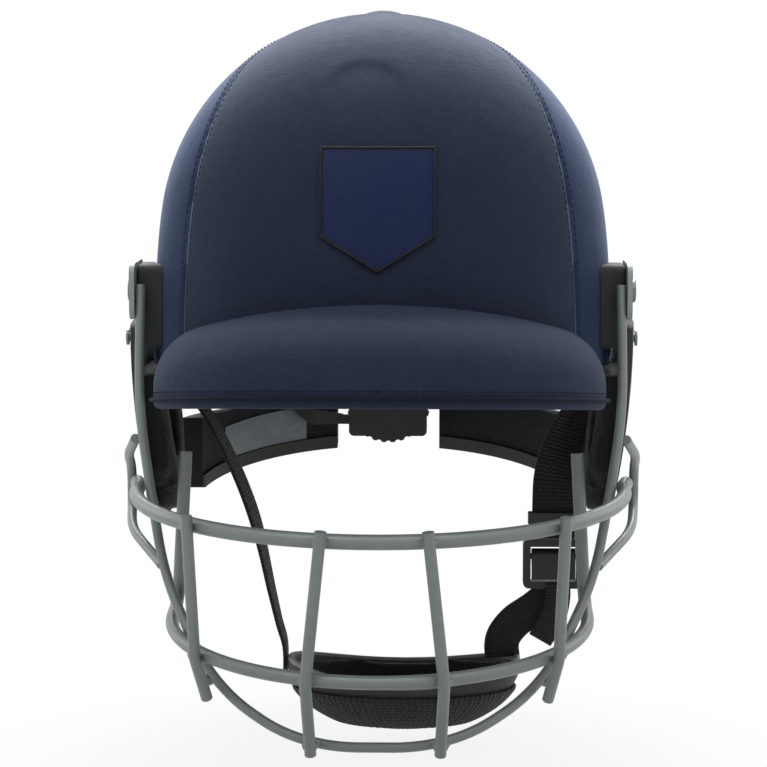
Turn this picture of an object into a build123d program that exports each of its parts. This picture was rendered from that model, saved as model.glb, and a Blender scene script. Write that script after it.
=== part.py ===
"""A cricket helmet: fabric-covered dome and peak, wire face grille, ear guards, nape guards and chin strap.

Millimetres, +Z up. The wearer faces -Y, so the wearer's left is +X. The origin is the seat of the
head: the middle of the head opening at brow level. Each "left" piece is made first, and its "right"
twin is its mirror image in the plane x = 0.
"""

import math
import os

from build123d import *

os.makedirs("parts", exist_ok=True)

# Clearances
fit = 0.2  # between fixed pieces that nest
free = 0.4  # round a piece that moves
overrun = 10.0  # how far a cutting form runs past what it cuts

bend_share = 0.45  # share of a run that a bend beside it may use

# Dome: straight in the middle, round at both ends
dome_half_width = 100.3
dome_half_length = 121.0
dome_centre_y = 4.0
dome_turn_height = 18.0  # where the upright wall starts to lean in
dome_lean_radius = 250.0  # of the wall's arc, which is larger than the crown's
dome_crown_height = 139.8
dome_wall_depth = 100.0  # how far the wall's form runs down before it is cut
cover_thickness = 1.4
shell_wall = 3.2
liner_thickness = 11.0
pad_thickness = 6.0

# Comfort pads: two corners of the box that each one fills
brow_pad_box = ((-60.0, -130.0, 20.0), (60.0, -60.0, 48.0))
nape_pad_box = ((-48.0, 70.0, 14.0), (48.0, 130.0, 46.0))
side_pad_box = ((40.0, -34.0, 12.0), (100.0, 44.0, 44.0))
crown_pad_box = ((-26.0, -44.0, 90.0), (26.0, 52.0, 140.0))

# Rim of the dome, seen from the side
rim_brow_height = -3.0
rim_temple_height = -12.0
rim_nape_height = -40.0
rim_temple_y = -50.0
rim_ear_y = 45.0
rim_nape_y = 78.0
liner_lift = 20.0  # how far the liner's edge lies above the rim

# Seams between the cover's panels: three points of the left seam's plane, which meets the right one's at the back
seam_low = (82.5, -72.0, 10.0)
seam_middle = (70.5, -58.0, 96.0)
seam_high = (42.0, 0.0, 131.0)

# Crown button
button_radius = 8.5
button_height = 1.8
button_round = 1.5
button_stem_radius = 1.9

# Brow patch
patch_width = 46.0
patch_height = 49.5
patch_point = 14.0
patch_thickness = 0.8
patch_middle_z = 58.7

# Peak: round at the front, straight along the sides, tipped up towards the front
peak_half_width = 95.5
peak_centre_y = -69.5
peak_centre_z = -8.5
peak_tilt = 7.3
peak_reach_back = 21.0  # length of the straight sides
peak_board_thickness = 3.6
peak_cloth = 1.2
peak_lip = 6.5  # height of the lip's upright face
peak_lip_top = -10.0
peak_crest_radius = 26.0
peak_slope = 17.0
peak_root = 58.0  # how far the upper face runs inwards from the lip
piping_radius = 0.9

# Temple fixing, which is the grille's pivot
temple_y = -38.0
temple_z = 20.0
temple_screw_radius = 2.4
temple_head_radius = 5.0
temple_head_height = 1.8
temple_washer_radius = 6.2
temple_washer_thickness = 0.6
temple_nut_radius = 6.5
temple_nut_length = 6.0
block_front = -52.0
block_back = -30.0
block_bottom = -4.0
block_top = 32.0
block_outside = 104.8
block_corner = 3.0

# Ear guard
ear_bulge_radius = 380.0
ear_crown = (110.8, -5.0, 5.0)  # the outermost point of the guard's bulge
ear_wall = 3.0
ear_pad_thickness = 9.5
ear_top = 5.0
ear_front = -50.0
ear_back = 42.0
ear_bottom = -84.0
ear_jaw_y = -28.0
ear_heel_y = 18.0
ear_cheek_z = -58.0
ear_nape_z = -50.0
ear_pad_top = -14.5
ear_corner = 15.0
ear_pad_margin = 4.0
ear_hole_radius = 15.0
ear_hole_y = 2.0
ear_hole_z = -42.0
ear_slot_length = 20.0
ear_slot_width = 3.6
ear_slot_pitch = 7.0
ear_slots = 4
spacer_front = 18.0
spacer_back = 38.0
spacer_bottom = -10.0
rivet_radius = 1.8
rivet_head_radius = 3.6
rivet_head_height = 1.0
ear_rivet_front_y = -41.0
ear_rivet_back_y = 28.0
ear_rivet_z = 0.0

# Grille
top_bar_diameter = 6.2
middle_bar_diameter = 5.6
upright_diameter = 4.8
side_wire_diameter = 4.2
loop_diameter = 4.2
weld = 0.1  # between wires that are welded together
bend_room = 0.5  # between an upright's bend and the middle bar
plate_weld = 0.3  # between the side wire and the temple plate
top_bar_radius = 104.5
top_bar_centre_y = -57.0
top_bar_front_z = -69.0
top_bar_back_z = -64.0
top_bar_corner_y = -52.0
top_bar_end = (106.2, -45.0, -63.2)
top_bar_bend = 10.0
middle_bar_radius = 88.5
middle_bar_centre_y = -71.0
middle_bar_front_z = -125.7
middle_bar_back_z = -117.0
middle_bar_corner_y = -47.0
middle_bar_end = (85.0, -44.5, -50.0)
middle_bar_bend = 14.0
plate_thickness = 2.2
plate_front = -61.0
plate_back = -25.0
plate_bottom = 9.0
plate_top = 33.0
plate_corner = 5.0
side_wire_top = (block_outside + fit - side_wire_diameter / 2 - plate_weld, -57.2, 24.0)
side_wire_cheek = (103.4, -60.5, -30.0)
side_wire_jaw = (97.6, -68.0, -66.0)
side_wire_turn = (90.5, -84.0, -98.0)
side_wire_chin = (68.0, -113.0, -138.0)
side_wire_front = (30.0, -142.5, -156.0)
upright_inner_top = 21.5
upright_inner_middle = 27.5
upright_inner_bottom = 26.0
upright_outer_top = 76.0
upright_outer_middle = 74.0
upright_outer_bottom = 70.0
upright_stub = 5.0  # how far an upright stands past the bars it is welded to
upright_bend = 12.0
upright_inner_foot = (-148.6, -157.5)  # y and z of the lower ends
upright_outer_foot = (-119.5, -141.5)
loop_start = (105.1, -60.6, -42.0)
loop_upper = (110.9, -38.0, -52.0)
loop_back_upper = (111.2, -22.0, -60.0)
loop_back_lower = (111.2, -22.0, -76.0)
loop_lower = (109.0, -44.0, -84.0)
loop_end = (92.5, -77.4, -93.8)

# Nape guards
nape_outer_inset = 2.0
nape_thickness = 9.0
nape_gap_x = 25.0  # from the middle plane to each wing
nape_front_y = 48.0
nape_top = -47.0
nape_bottom_front = -80.0
nape_bottom_back = -67.0
nape_trim_height = 6.0
nape_trim_thickness = 1.1
clip_width = 10.0
clip_thickness = 3.0
clip_places = (31.0, 66.0)  # distances of the clips' inner sides from the middle plane
sticker_span = (40.0, 77.0)
sticker_height = 16.0
sticker_thickness = 0.4

# Fit adjuster at the nape
adjuster_z = -46.0
pinion_radius = 5.0
pinion_teeth = 10
tooth_addendum = 0.9
tooth_dedendum = 1.15
tooth_tip = 0.75
tooth_root = 1.95
housing_half_width = 19.0
housing_front = 97.0
housing_back = 107.6
housing_top = -30.0
housing_bottom = -62.0
housing_wall = 1.8
housing_corner = 2.5
dial_radius = 21.0
dial_front = 109.4
dial_thickness = 5.6
dial_notches = 28
dial_notch_radius = 1.5
shaft_radius = 2.5
rack_front = 100.6
rack_thickness = 3.0
rack_height = 6.5
rack_inner_end = -13.0
rack_outer_end = 26.0
rack_teeth = 7  # an odd count puts a gap under the pinion's top tooth
arm_thickness = 2.4
arm_height = 13.0
arm_path = ((22.0, 102.1), (38.0, 99.0), (58.0, 84.0), (64.0, 70.0), (66.0, 68.8), (79.0, 68.8))
arm_rise = 20.0  # how far the arm climbs from the housing to its tongue
sleeve_wall = 1.6
sleeve_inner_x = 70.0
hanger_half_width = 9.0
hanger_thickness = 2.4
hanger_top = 8.0

# Chin strap
strap_y = -18.0
strap_pivot_z = -4.0
strap_width = 19.0
strap_thickness = 1.8
strap_outside = 91.3  # outer face of the strap at its rivet
strap_rivet_radius = 2.0
strap_shoulder_radius = 4.2
strap_head_radius = 5.0
strap_head_height = 1.0
strap_right_path = ((90.4, -4.0), (90.4, -16.0), (77.0, -36.0), (63.0, -66.0), (53.5, -96.0), (48.0, -122.0),
                    (43.5, -140.0), (43.5, -156.0))
strap_twist = ((90.4, -18.0, -6.0, 0), (88.5, -18.2, -24.0, 25), (82.0, -19.0, -44.0, 60), (76.0, -20.0, -62.0, 90))
buckle_x = 76.0
buckle_y = -20.0
buckle_top = -92.0
buckle_width = 27.0
buckle_height = 22.0
buckle_thickness = 6.0
buckle_bar = 3.2
buckle_side = 3.4
buckle_corner = 2.7
lever_thickness = 2.2
lever_length = 10.0
lever_pin_radius = 1.3
keeper_wall = 1.5
keeper_height = 5.0
keeper_top = -80.0
strap_lower_path = ((76.0, -114.3), (55.0, -145.7))
strap_lower_width = 18.0
tail_path = ((78.0, -111.5), (78.0, -118.0), (75.0, -127.0), (70.0, -137.0))
tail_width = 11.0
tail_y = -24.2

# Chin cup
cup_x = 9.7
cup_y = -24.0
cup_z = -146.0
cup_half_width = 52.0
cup_half_depth = 31.0
cup_depth = 31.0
cup_wall = 3.0
cup_rim_radius = 58.0  # of the arc that lowers the rim at the front and back
cup_pad_thickness = 5.0
cup_webbing_thickness = 1.8
cup_webbing_top = -157.0
cup_webbing_bottom = -172.0


def save(piece, name):
    """Labels a finished piece and writes its file."""
    piece.part.label = name
    export_step(piece.part, f"parts/{name}.step")


def save_pair(left, name):
    """Writes a left piece and its mirror image on the right."""
    save(left, f"{name}_left")
    with BuildPart() as right:
        mirror(left.part, about=Plane.YZ)
    save(right, f"{name}_right")


def save_group(left, name):
    """Writes a left piece and its mirror image as one node of separate solids."""
    with BuildPart() as both:
        add(left.part)
        mirror(left.part, about=Plane.YZ)
    save(both, name)


def across(y, z, radius, start, end):
    """A round bar along X from start to end, at y and z."""
    with BuildPart() as bar:
        with BuildSketch(Plane.YZ.offset(start)):
            with Locations((y, z)):
                Circle(radius)
        extrude(amount=end - start)
    return bar.part


def block(low, high):
    """A box between two corners, for cutting."""
    size = [b - a for a, b in zip(low, high)]
    with BuildPart() as form:
        with Locations(low):
            Box(*size, align=(Align.MIN, Align.MIN, Align.MIN))
    return form.part


def bend_radii(points, largest=1000.0):
    """The largest radius that the runs beside each corner allow."""
    radii = []
    for before, corner, after in zip(points, points[1:], points[2:]):
        run_in = Vector(corner) - Vector(before)
        run_out = Vector(after) - Vector(corner)
        half_turn = math.radians(run_in.get_angle(run_out)) / 2
        room = bend_share * min(run_in.length, run_out.length)
        radii.append(min(largest, room / math.tan(half_turn)))
    return radii


# Forms of the dome
def dome_profile(inset):
    """Half the section of the dome, drawn in by inset: upright wall, leaning wall, and an arc over the crown."""
    lean_x = dome_half_width - dome_lean_radius
    rise = dome_crown_height - dome_turn_height
    # The crown's arc is centred under the crown and runs into the leaning wall's arc.
    crown_radius = (rise**2 + lean_x**2 - dome_lean_radius**2) / (2 * (rise - dome_lean_radius))
    crown_centre_z = dome_crown_height - crown_radius
    turn = math.atan2(crown_centre_z - dome_turn_height, -lean_x)
    half_width = dome_half_width - inset
    crown = crown_radius - inset
    meet = (crown * math.cos(turn), crown_centre_z + crown * math.sin(turn))
    halfway = turn / 2
    lean = dome_lean_radius - inset
    on_lean = (lean_x + lean * math.cos(halfway), dome_turn_height + lean * math.sin(halfway))
    over = (turn + math.pi / 2) / 2
    on_crown = (crown * math.cos(over), crown_centre_z + crown * math.sin(over))
    with BuildSketch() as profile:
        with BuildLine():
            Polyline((0, dome_crown_height - inset), (0, -dome_wall_depth), (half_width, -dome_wall_depth),
                     (half_width, dome_turn_height))
            ThreePointArc((half_width, dome_turn_height), on_lean, meet)
            ThreePointArc(meet, on_crown, (0, dome_crown_height - inset))
        make_face()
    return profile.sketch


def dome_form(inset):
    """The dome as a solid, drawn in by inset: its section turned at both ends and drawn out between."""
    profile = dome_profile(inset)
    stretch = dome_half_length - dome_half_width
    with BuildPart() as form:
        for side in (-1, 1):
            centre_y = dome_centre_y + side * stretch
            with BuildSketch(Plane.XZ.offset(-centre_y)):
                add(profile)
            revolve(axis=Axis((0, centre_y, 0), (0, 0, side)), revolution_arc=180)
        with BuildSketch(Plane.XZ.offset(-dome_centre_y)):
            add(profile)
            mirror(about=Plane.YZ)
        extrude(amount=stretch, both=True)
    return form.part


def below_rim(lift):
    """Everything under the dome's rim, raised by lift."""
    floor = -dome_wall_depth - overrun
    front = dome_centre_y - dome_half_length - overrun
    back = dome_centre_y + dome_half_length + overrun
    with BuildPart() as form:
        with BuildSketch(Plane.YZ):
            with BuildLine():
                Polyline((front, floor), (front, rim_brow_height + lift), (rim_temple_y, rim_temple_height + lift),
                         (rim_ear_y, rim_temple_height + lift), (rim_nape_y, rim_nape_height + lift),
                         (back, rim_nape_height + lift), (back, floor), close=True)
            make_face()
        extrude(amount=dome_half_width + overrun, both=True)
    return form.part


shell_inset = cover_thickness + fit
shell_inside_inset = shell_inset + shell_wall
liner_inset = shell_inside_inset + fit
liner_inside_inset = liner_inset + liner_thickness
pad_inset = liner_inside_inset + fit
cover_form = dome_form(0)
cover_lining_form = dome_form(cover_thickness)
shell_form = dome_form(shell_inset)
shell_inside_form = dome_form(shell_inside_inset)
liner_form = dome_form(liner_inset)
liner_inside_form = dome_form(liner_inside_inset)
pad_form = dome_form(pad_inset)
pad_inside_form = dome_form(pad_inset + pad_thickness)
outside_form = dome_form(-fit)
rim_region = below_rim(0)
liner_rim_region = below_rim(liner_lift)
reach = dome_half_width + 2 * overrun
temple_bore = across(temple_y, temple_z, temple_screw_radius + fit, -reach, reach)
nut_bore = across(temple_y, temple_z, temple_nut_radius + 2 * fit, -reach, reach)
strap_bore = across(strap_y, strap_pivot_z, strap_rivet_radius + fit, -reach, reach)
ear_rivet_bores = [across(y, ear_rivet_z, rivet_radius + fit, -reach, reach)
                   for y in (ear_rivet_front_y, ear_rivet_back_y)]
wall_bores = [temple_bore, strap_bore] + ear_rivet_bores


# Cover: a centre panel and two side panels
seam_normal = (Vector(seam_middle) - Vector(seam_low)).cross(Vector(seam_high) - Vector(seam_low))
if seam_normal.X < 0:
    seam_normal = -seam_normal
seam_plane_left = Plane(origin=seam_low, z_dir=seam_normal)
seam_plane_right = Plane(origin=(-seam_low[0], seam_low[1], seam_low[2]),
                         z_dir=(-seam_normal.X, seam_normal.Y, seam_normal.Z))

with BuildPart() as cover_skin:
    add(cover_form)
    add(cover_lining_form, mode=Mode.SUBTRACT)
    add(rim_region, mode=Mode.SUBTRACT)
    for bore in wall_bores:
        add(bore, mode=Mode.SUBTRACT)
    with BuildSketch(Plane.XY.offset(dome_crown_height - overrun)):
        with Locations((0, dome_centre_y)):
            Circle(button_stem_radius + fit)
    extrude(amount=2 * overrun, mode=Mode.SUBTRACT)

with BuildPart() as cover_centre_panel:
    add(cover_skin.part)
    split(bisect_by=seam_plane_left, keep=Keep.BOTTOM)
    split(bisect_by=seam_plane_right, keep=Keep.BOTTOM)
save(cover_centre_panel, "cover_centre_panel")

with BuildPart() as cover_side_panel:
    add(cover_skin.part)
    split(bisect_by=seam_plane_left, keep=Keep.TOP)
    split(bisect_by=Plane.YZ, keep=Keep.TOP)
save_pair(cover_side_panel, "cover_side_panel")


# Shell and liner
with BuildPart() as outer_shell:
    add(shell_form)
    add(shell_inside_form, mode=Mode.SUBTRACT)
    add(rim_region, mode=Mode.SUBTRACT)
    for bore in wall_bores:
        add(bore, mode=Mode.SUBTRACT)
    with BuildSketch(Plane.XY.offset(dome_crown_height - overrun)):
        with Locations((0, dome_centre_y)):
            Circle(button_stem_radius + fit)
    extrude(amount=2 * overrun, mode=Mode.SUBTRACT)
save(outer_shell, "outer_shell")

with BuildPart() as impact_liner:
    add(liner_form)
    add(liner_inside_form, mode=Mode.SUBTRACT)
    add(liner_rim_region, mode=Mode.SUBTRACT)
    add(nut_bore, mode=Mode.SUBTRACT)
save(impact_liner, "impact_liner")

with BuildPart() as crown_button:
    with BuildSketch(Plane.XY.offset(dome_crown_height)):
        with Locations((0, dome_centre_y)):
            Circle(button_radius)
    extrude(amount=button_height)
    fillet(crown_button.edges().sort_by(Axis.Z)[-1], button_round)
    with BuildSketch(Plane.XY.offset(dome_crown_height)):
        with Locations((0, dome_centre_y)):
            Circle(button_stem_radius)
    extrude(amount=-shell_inside_inset)
save(crown_button, "crown_button")


# Brow patch: a blank shield that lies on the cover
with BuildPart() as brow_patch:
    with BuildSketch(Plane.XZ):
        with BuildLine():
            half = patch_width / 2
            low = patch_middle_z - patch_height / 2
            Polyline((0, low), (half, low + patch_point), (half, low + patch_height), (-half, low + patch_height),
                     (-half, low + patch_point), close=True)
        make_face()
    extrude(amount=dome_half_length + overrun)
    add(dome_form(-fit / 2 - patch_thickness), mode=Mode.INTERSECT)
    add(dome_form(-fit / 2), mode=Mode.SUBTRACT)
save(brow_patch, "brow_patch")


# Comfort pads, between the liner and the head
def comfort_pad(low, high):
    """A pad that follows the liner inside the box between two corners."""
    with BuildPart() as pad:
        add(pad_form)
        add(pad_inside_form, mode=Mode.SUBTRACT)
        add(block(low, high), mode=Mode.INTERSECT)
    return pad


save(comfort_pad(*brow_pad_box), "brow_pad")
save(comfort_pad(*nape_pad_box), "nape_pad")
save_group(comfort_pad(*side_pad_box), "side_pads")
save(comfort_pad(*crown_pad_box), "crown_pad")


# Peak: a board with a turned-down lip, in a fabric sleeve
peak_thickness = peak_board_thickness + 2 * peak_cloth
peak_place = Pos(0, peak_centre_y, peak_centre_z) * Rot(X=-peak_tilt)


def peak_line(depth):
    """Points along the peak's section at a depth under its face: lip, crest arc and upper face."""
    steep = math.radians(90 - peak_slope)
    radius = peak_crest_radius - depth
    centre = (peak_half_width - peak_crest_radius, peak_lip_top)
    middle = (centre[0] + radius * math.cos(steep / 2), centre[1] + radius * math.sin(steep / 2))
    end = (centre[0] + radius * math.cos(steep), centre[1] + radius * math.sin(steep))
    run = peak_root - peak_half_width + end[0]
    root = (end[0] - run, end[1] + run * math.tan(math.radians(peak_slope)))
    return (peak_half_width - depth, peak_lip_top - peak_lip), (peak_half_width - depth, peak_lip_top), middle, end, root


def peak_form(inset):
    """The peak as one solid, drawn in by inset, before the dome is cut away."""
    upper = peak_line(inset)
    under = peak_line(peak_thickness - inset)
    lip_middle = (peak_half_width - peak_thickness / 2, peak_lip_top - peak_lip - peak_thickness / 2 + inset)
    with BuildSketch(Plane.XZ) as section:
        with BuildLine():
            for low, top, middle, end, root in (upper, under):
                Line(low, top)
                ThreePointArc(top, middle, end)
                Line(end, root)
            Line(upper[4], under[4])
            ThreePointArc(upper[0], lip_middle, under[0])
        make_face()
    with BuildPart() as form:
        with BuildSketch(Plane.XZ):
            add(section.sketch)
        revolve(axis=Axis((0, 0, 0), (0, 0, -1)), revolution_arc=180)
        with BuildSketch(Plane.XZ):
            add(section.sketch)
            mirror(about=Plane.YZ)
        extrude(amount=-peak_reach_back)
    return peak_place * form.part


peak_outside = peak_form(0)
peak_lining = peak_form(peak_cloth)
peak_board_form = peak_form(peak_cloth + fit / 2)

with BuildPart() as peak_board:
    add(peak_board_form)
    add(outside_form, mode=Mode.SUBTRACT)
save(peak_board, "peak_board")

with BuildPart() as peak_cover:
    add(peak_outside)
    add(peak_lining, mode=Mode.SUBTRACT)
    add(outside_form, mode=Mode.SUBTRACT)
save(peak_cover, "peak_cover")

with BuildPart() as piping_form:
    bead_x = peak_half_width + piping_radius + fit / 2
    bead_z = peak_lip_top - peak_lip + piping_radius
    with BuildSketch(Plane.XZ):
        with Locations((bead_x, bead_z)):
            Circle(piping_radius)
    revolve(axis=Axis((0, 0, 0), (0, 0, -1)), revolution_arc=180)
with BuildPart() as peak_piping:
    add(peak_place * piping_form.part)
save(peak_piping, "peak_piping")


# Temple fixing
block_box = block((dome_half_width - 2 * overrun, block_front, block_bottom), (block_outside, block_back, block_top))
with BuildPart() as temple_block:
    add(block_box)
    fillet(temple_block.edges().filter_by(Axis.X), block_corner)
    fillet(temple_block.faces().sort_by(Axis.X)[-1].edges(), block_corner / 2)
    add(outside_form, mode=Mode.SUBTRACT)
    for bore in wall_bores:
        add(bore, mode=Mode.SUBTRACT)
save_pair(temple_block, "temple_block")

plate_inside = block_outside + fit
plate_outside = plate_inside + plate_thickness
washer_outside = plate_outside + fit + temple_washer_thickness
nut_inner_end = dome_half_width - shell_inside_inset - temple_nut_length

with BuildPart() as temple_washer:
    add(across(temple_y, temple_z, temple_washer_radius, plate_outside + fit, washer_outside))
    add(temple_bore, mode=Mode.SUBTRACT)
save_group(temple_washer, "temple_washers")

with BuildPart() as temple_screw:
    add(across(temple_y, temple_z, temple_screw_radius, nut_inner_end, washer_outside + fit + temple_head_height))
    add(across(temple_y, temple_z, temple_head_radius, washer_outside + fit,
               washer_outside + fit + temple_head_height))
    fillet(temple_screw.edges().sort_by(Axis.X)[-1], temple_head_height / 2)
    with BuildSketch(Plane.YZ.offset(washer_outside + fit + temple_head_height / 2)):
        with Locations((temple_y, temple_z)):
            RegularPolygon(temple_head_radius / 2, 6)
    extrude(amount=temple_head_height, mode=Mode.SUBTRACT)
save_group(temple_screw, "temple_screws")

with BuildPart() as temple_nut:
    add(across(temple_y, temple_z, temple_nut_radius, nut_inner_end, dome_half_width))
    add(liner_form, mode=Mode.INTERSECT)
    add(temple_bore, mode=Mode.SUBTRACT)
save_group(temple_nut, "temple_nuts")


# Ear guards
def ear_ball(depth):
    """The ball whose surface lies at a depth under the guard's outer face."""
    with BuildPart() as ball:
        with Locations((ear_crown[0] - ear_bulge_radius, ear_crown[1], ear_crown[2])):
            Sphere(ear_bulge_radius - depth)
    return ball.part


def ear_outline(margin, top):
    """The side view of a guard, drawn in by margin and cut off at top, drawn out along X."""
    points = [(ear_front + margin, top), (ear_front + margin, ear_cheek_z), (ear_jaw_y, ear_bottom + margin),
              (ear_heel_y, ear_bottom + margin), (ear_back - margin, ear_nape_z), (ear_back - margin, top)]
    corners = [block_corner] + [ear_corner] * 4 + [block_corner]
    with BuildPart() as form:
        with BuildSketch(Plane.YZ.offset(dome_half_width - 2 * overrun)):
            with BuildLine():
                FilletPolyline(points, radius=corners, close=True)
            make_face()
        extrude(amount=4 * overrun)
    return form.part


guard_outline = ear_outline(0, ear_top)
pad_outline = ear_outline(ear_pad_margin, ear_pad_top)
ear_outer_ball = ear_ball(0)
ear_inner_ball = ear_ball(ear_wall)
ear_pad_ball = ear_ball(ear_wall + fit)
ear_pad_inside_ball = ear_ball(ear_wall + fit + ear_pad_thickness)

with BuildPart() as ear_guard:
    add(guard_outline)
    add(ear_outer_ball, mode=Mode.INTERSECT)
    add(ear_inner_ball, mode=Mode.SUBTRACT)
    with BuildSketch(Plane.YZ.offset(dome_half_width - overrun)):
        with Locations((ear_hole_y, ear_hole_z)):
            with GridLocations(ear_slot_pitch, 0, ear_slots, 1):
                SlotOverall(ear_slot_length, ear_slot_width, rotation=90)
    extrude(amount=3 * overrun, mode=Mode.SUBTRACT)
    for bore in ear_rivet_bores:
        add(bore, mode=Mode.SUBTRACT)
save_pair(ear_guard, "ear_guard")

with BuildPart() as ear_pad:
    add(pad_outline)
    add(ear_pad_ball, mode=Mode.INTERSECT)
    add(ear_pad_inside_ball, mode=Mode.SUBTRACT)
    with BuildSketch(Plane.YZ.offset(dome_half_width - 2 * overrun)):
        with Locations((ear_hole_y, ear_hole_z)):
            Circle(ear_hole_radius)
    extrude(amount=4 * overrun, mode=Mode.SUBTRACT)
save_pair(ear_pad, "ear_pad")

spacer_box = block((dome_half_width - overrun, spacer_front, spacer_bottom), (dome_half_width + 2 * overrun,
                                                                              spacer_back, ear_top))
with BuildPart() as ear_guard_spacer:
    add(spacer_box)
    add(ear_pad_ball, mode=Mode.INTERSECT)
    add(outside_form, mode=Mode.SUBTRACT)
    for bore in ear_rivet_bores:
        add(bore, mode=Mode.SUBTRACT)
save_group(ear_guard_spacer, "ear_guard_spacers")

rivet_inner_end = dome_half_width - shell_inside_inset - rivet_head_radius


def rivet_seat(y):
    """The x of the guard's outer face where a rivet's head sits, at the face's height on the rivet's near side."""
    away = math.hypot(y - ear_crown[1], ear_rivet_z - ear_crown[2]) - rivet_head_radius
    return ear_crown[0] - ear_bulge_radius + math.sqrt(ear_bulge_radius**2 - away**2) + fit


with BuildPart() as ear_guard_rivets:
    for y in (ear_rivet_front_y, ear_rivet_back_y):
        seat = rivet_seat(y)
        add(across(y, ear_rivet_z, rivet_radius, rivet_inner_end, seat + rivet_head_height))
        add(across(y, ear_rivet_z, rivet_head_radius, seat, seat + rivet_head_height))
save_group(ear_guard_rivets, "ear_guard_rivets")


# Grille: every wire is a round bar along straight runs and arcs
def mirrored(points):
    """A chain of points from the left, closed across the middle plane onto the right."""
    return list(points) + [(-x, y, z) for x, y, z in reversed(points)]


def wire(points, diameter, largest=1000.0):
    """A round wire along a chain of points, bent as gently as its runs allow."""
    with BuildPart() as form:
        with BuildLine() as route:
            FilletPolyline(points, radius=bend_radii(points, largest))
        with BuildSketch(Plane(origin=route.line @ 0, z_dir=route.line % 0)):
            Circle(diameter / 2)
        sweep()
    return form


def bar_tilt(radius, front_z, back_z):
    """How far a half-circle bar is tipped down towards the front, in radians."""
    return math.asin((back_z - front_z) / radius)


def bar_point(radius, centre_y, front_z, back_z, x, out):
    """A point at x that lies out in front of a half-circle bar."""
    tilt = bar_tilt(radius, front_z, back_z)
    depth = math.sqrt((radius + out) ** 2 - x**2)
    return centre_y - depth * math.cos(tilt), back_z - depth * math.sin(tilt)


def half_circle_bar(radius, centre_y, front_z, back_z, corner_y, end, diameter, bend):
    """A bar that is half a circle, carried straight back to corner_y on both sides and then bent to end."""
    tilt = bar_tilt(radius, front_z, back_z)
    start = (radius, centre_y, back_z)
    front = (0, centre_y - radius * math.cos(tilt), back_z - radius * math.sin(tilt))
    corner = (radius, corner_y, back_z + (corner_y - centre_y) * math.tan(tilt))
    with BuildPart() as bar:
        with BuildLine() as route:
            ThreePointArc(start, front, (-radius, centre_y, back_z))
            for side in (1, -1):
                FilletPolyline([(side * x, y, z) for x, y, z in (start, corner, end)], radius=bend)
        path = route.wire()
        with BuildSketch(Plane(origin=path @ 0, z_dir=path % 0)):
            Circle(diameter / 2)
        sweep(path=path)
    return bar


top_bar = half_circle_bar(top_bar_radius, top_bar_centre_y, top_bar_front_z, top_bar_back_z, top_bar_corner_y,
                          top_bar_end, top_bar_diameter, top_bar_bend)
save(top_bar, "grille_top_bar")
middle_bar = half_circle_bar(middle_bar_radius, middle_bar_centre_y, middle_bar_front_z, middle_bar_back_z,
                             middle_bar_corner_y, middle_bar_end, middle_bar_diameter, middle_bar_bend)
save(middle_bar, "grille_middle_bar")
side_wire = wire(mirrored([side_wire_top, side_wire_cheek, side_wire_jaw, side_wire_turn, side_wire_chin,
                           side_wire_front]), side_wire_diameter)
save(side_wire, "grille_side_wire")
side_loop = wire([loop_start, loop_upper, loop_back_upper, loop_back_lower, loop_lower, loop_end], loop_diameter)
save_pair(side_loop, "grille_side_loop")


def upright(top_x, middle_x, bottom_x, foot):
    """An upright welded in front of the top and middle bars, bent at the middle bar."""
    top_out = (top_bar_diameter + upright_diameter) / 2 + weld
    middle_out = (middle_bar_diameter + upright_diameter) / 2 + bend_room
    top_y, top_z = bar_point(top_bar_radius, top_bar_centre_y, top_bar_front_z, top_bar_back_z, top_x, top_out)
    middle_y, middle_z = bar_point(middle_bar_radius, middle_bar_centre_y, middle_bar_front_z, middle_bar_back_z,
                                   middle_x, middle_out)
    top = Vector(top_x, top_y, top_z)
    middle = Vector(middle_x, middle_y, middle_z)
    stub = top + (top - middle).normalized() * upright_stub
    return wire([tuple(stub), tuple(middle), (bottom_x, *foot)], upright_diameter, upright_bend)


save_pair(upright(upright_inner_top, upright_inner_middle, upright_inner_bottom, upright_inner_foot),
          "grille_inner_upright")
save_pair(upright(upright_outer_top, upright_outer_middle, upright_outer_bottom, upright_outer_foot),
          "grille_outer_upright")

with BuildPart() as temple_plate:
    add(block((plate_inside, plate_front, plate_bottom), (plate_outside, plate_back, plate_top)))
    fillet(temple_plate.edges().filter_by(Axis.X), plate_corner)
    add(temple_bore, mode=Mode.SUBTRACT)
save_pair(temple_plate, "temple_plate")


# Nape guards
nape_outer_form = dome_form(nape_outer_inset)
nape_inner_form = dome_form(nape_outer_inset + nape_thickness)
clip_inner_form = dome_form(nape_outer_inset + clip_thickness)
trim_outer_form = dome_form(nape_outer_inset + nape_thickness + fit / 2)
trim_inner_form = dome_form(nape_outer_inset + nape_thickness + fit / 2 + nape_trim_thickness)
sticker_inner_form = dome_form(nape_outer_inset + nape_thickness + fit / 2 + sticker_thickness)
dome_back = dome_centre_y + dome_half_length


def nape_outline(low_front, low_back, top_front, top_back):
    """The side view of a strip of a wing on the left of the middle plane."""
    with BuildPart() as form:
        with BuildSketch(Plane.YZ.offset(nape_gap_x)):
            with BuildLine():
                Polyline((nape_front_y, low_front), (dome_back, low_back), (dome_back, top_back),
                         (nape_front_y, top_front), close=True)
            make_face()
        extrude(amount=dome_half_width)
    return form.part


def nape_strip(low, height):
    """A strip of a wing that runs along its lower edge, from low above that edge."""
    front = nape_bottom_front + low
    back = nape_bottom_back + low
    return nape_outline(front, back, front + height, back + height)


wing_outline = nape_outline(nape_bottom_front, nape_bottom_back, nape_top, nape_top)
trim_outline = nape_strip(0, nape_trim_height)
sticker_outline = nape_strip(nape_trim_height + fit, sticker_height)

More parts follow.
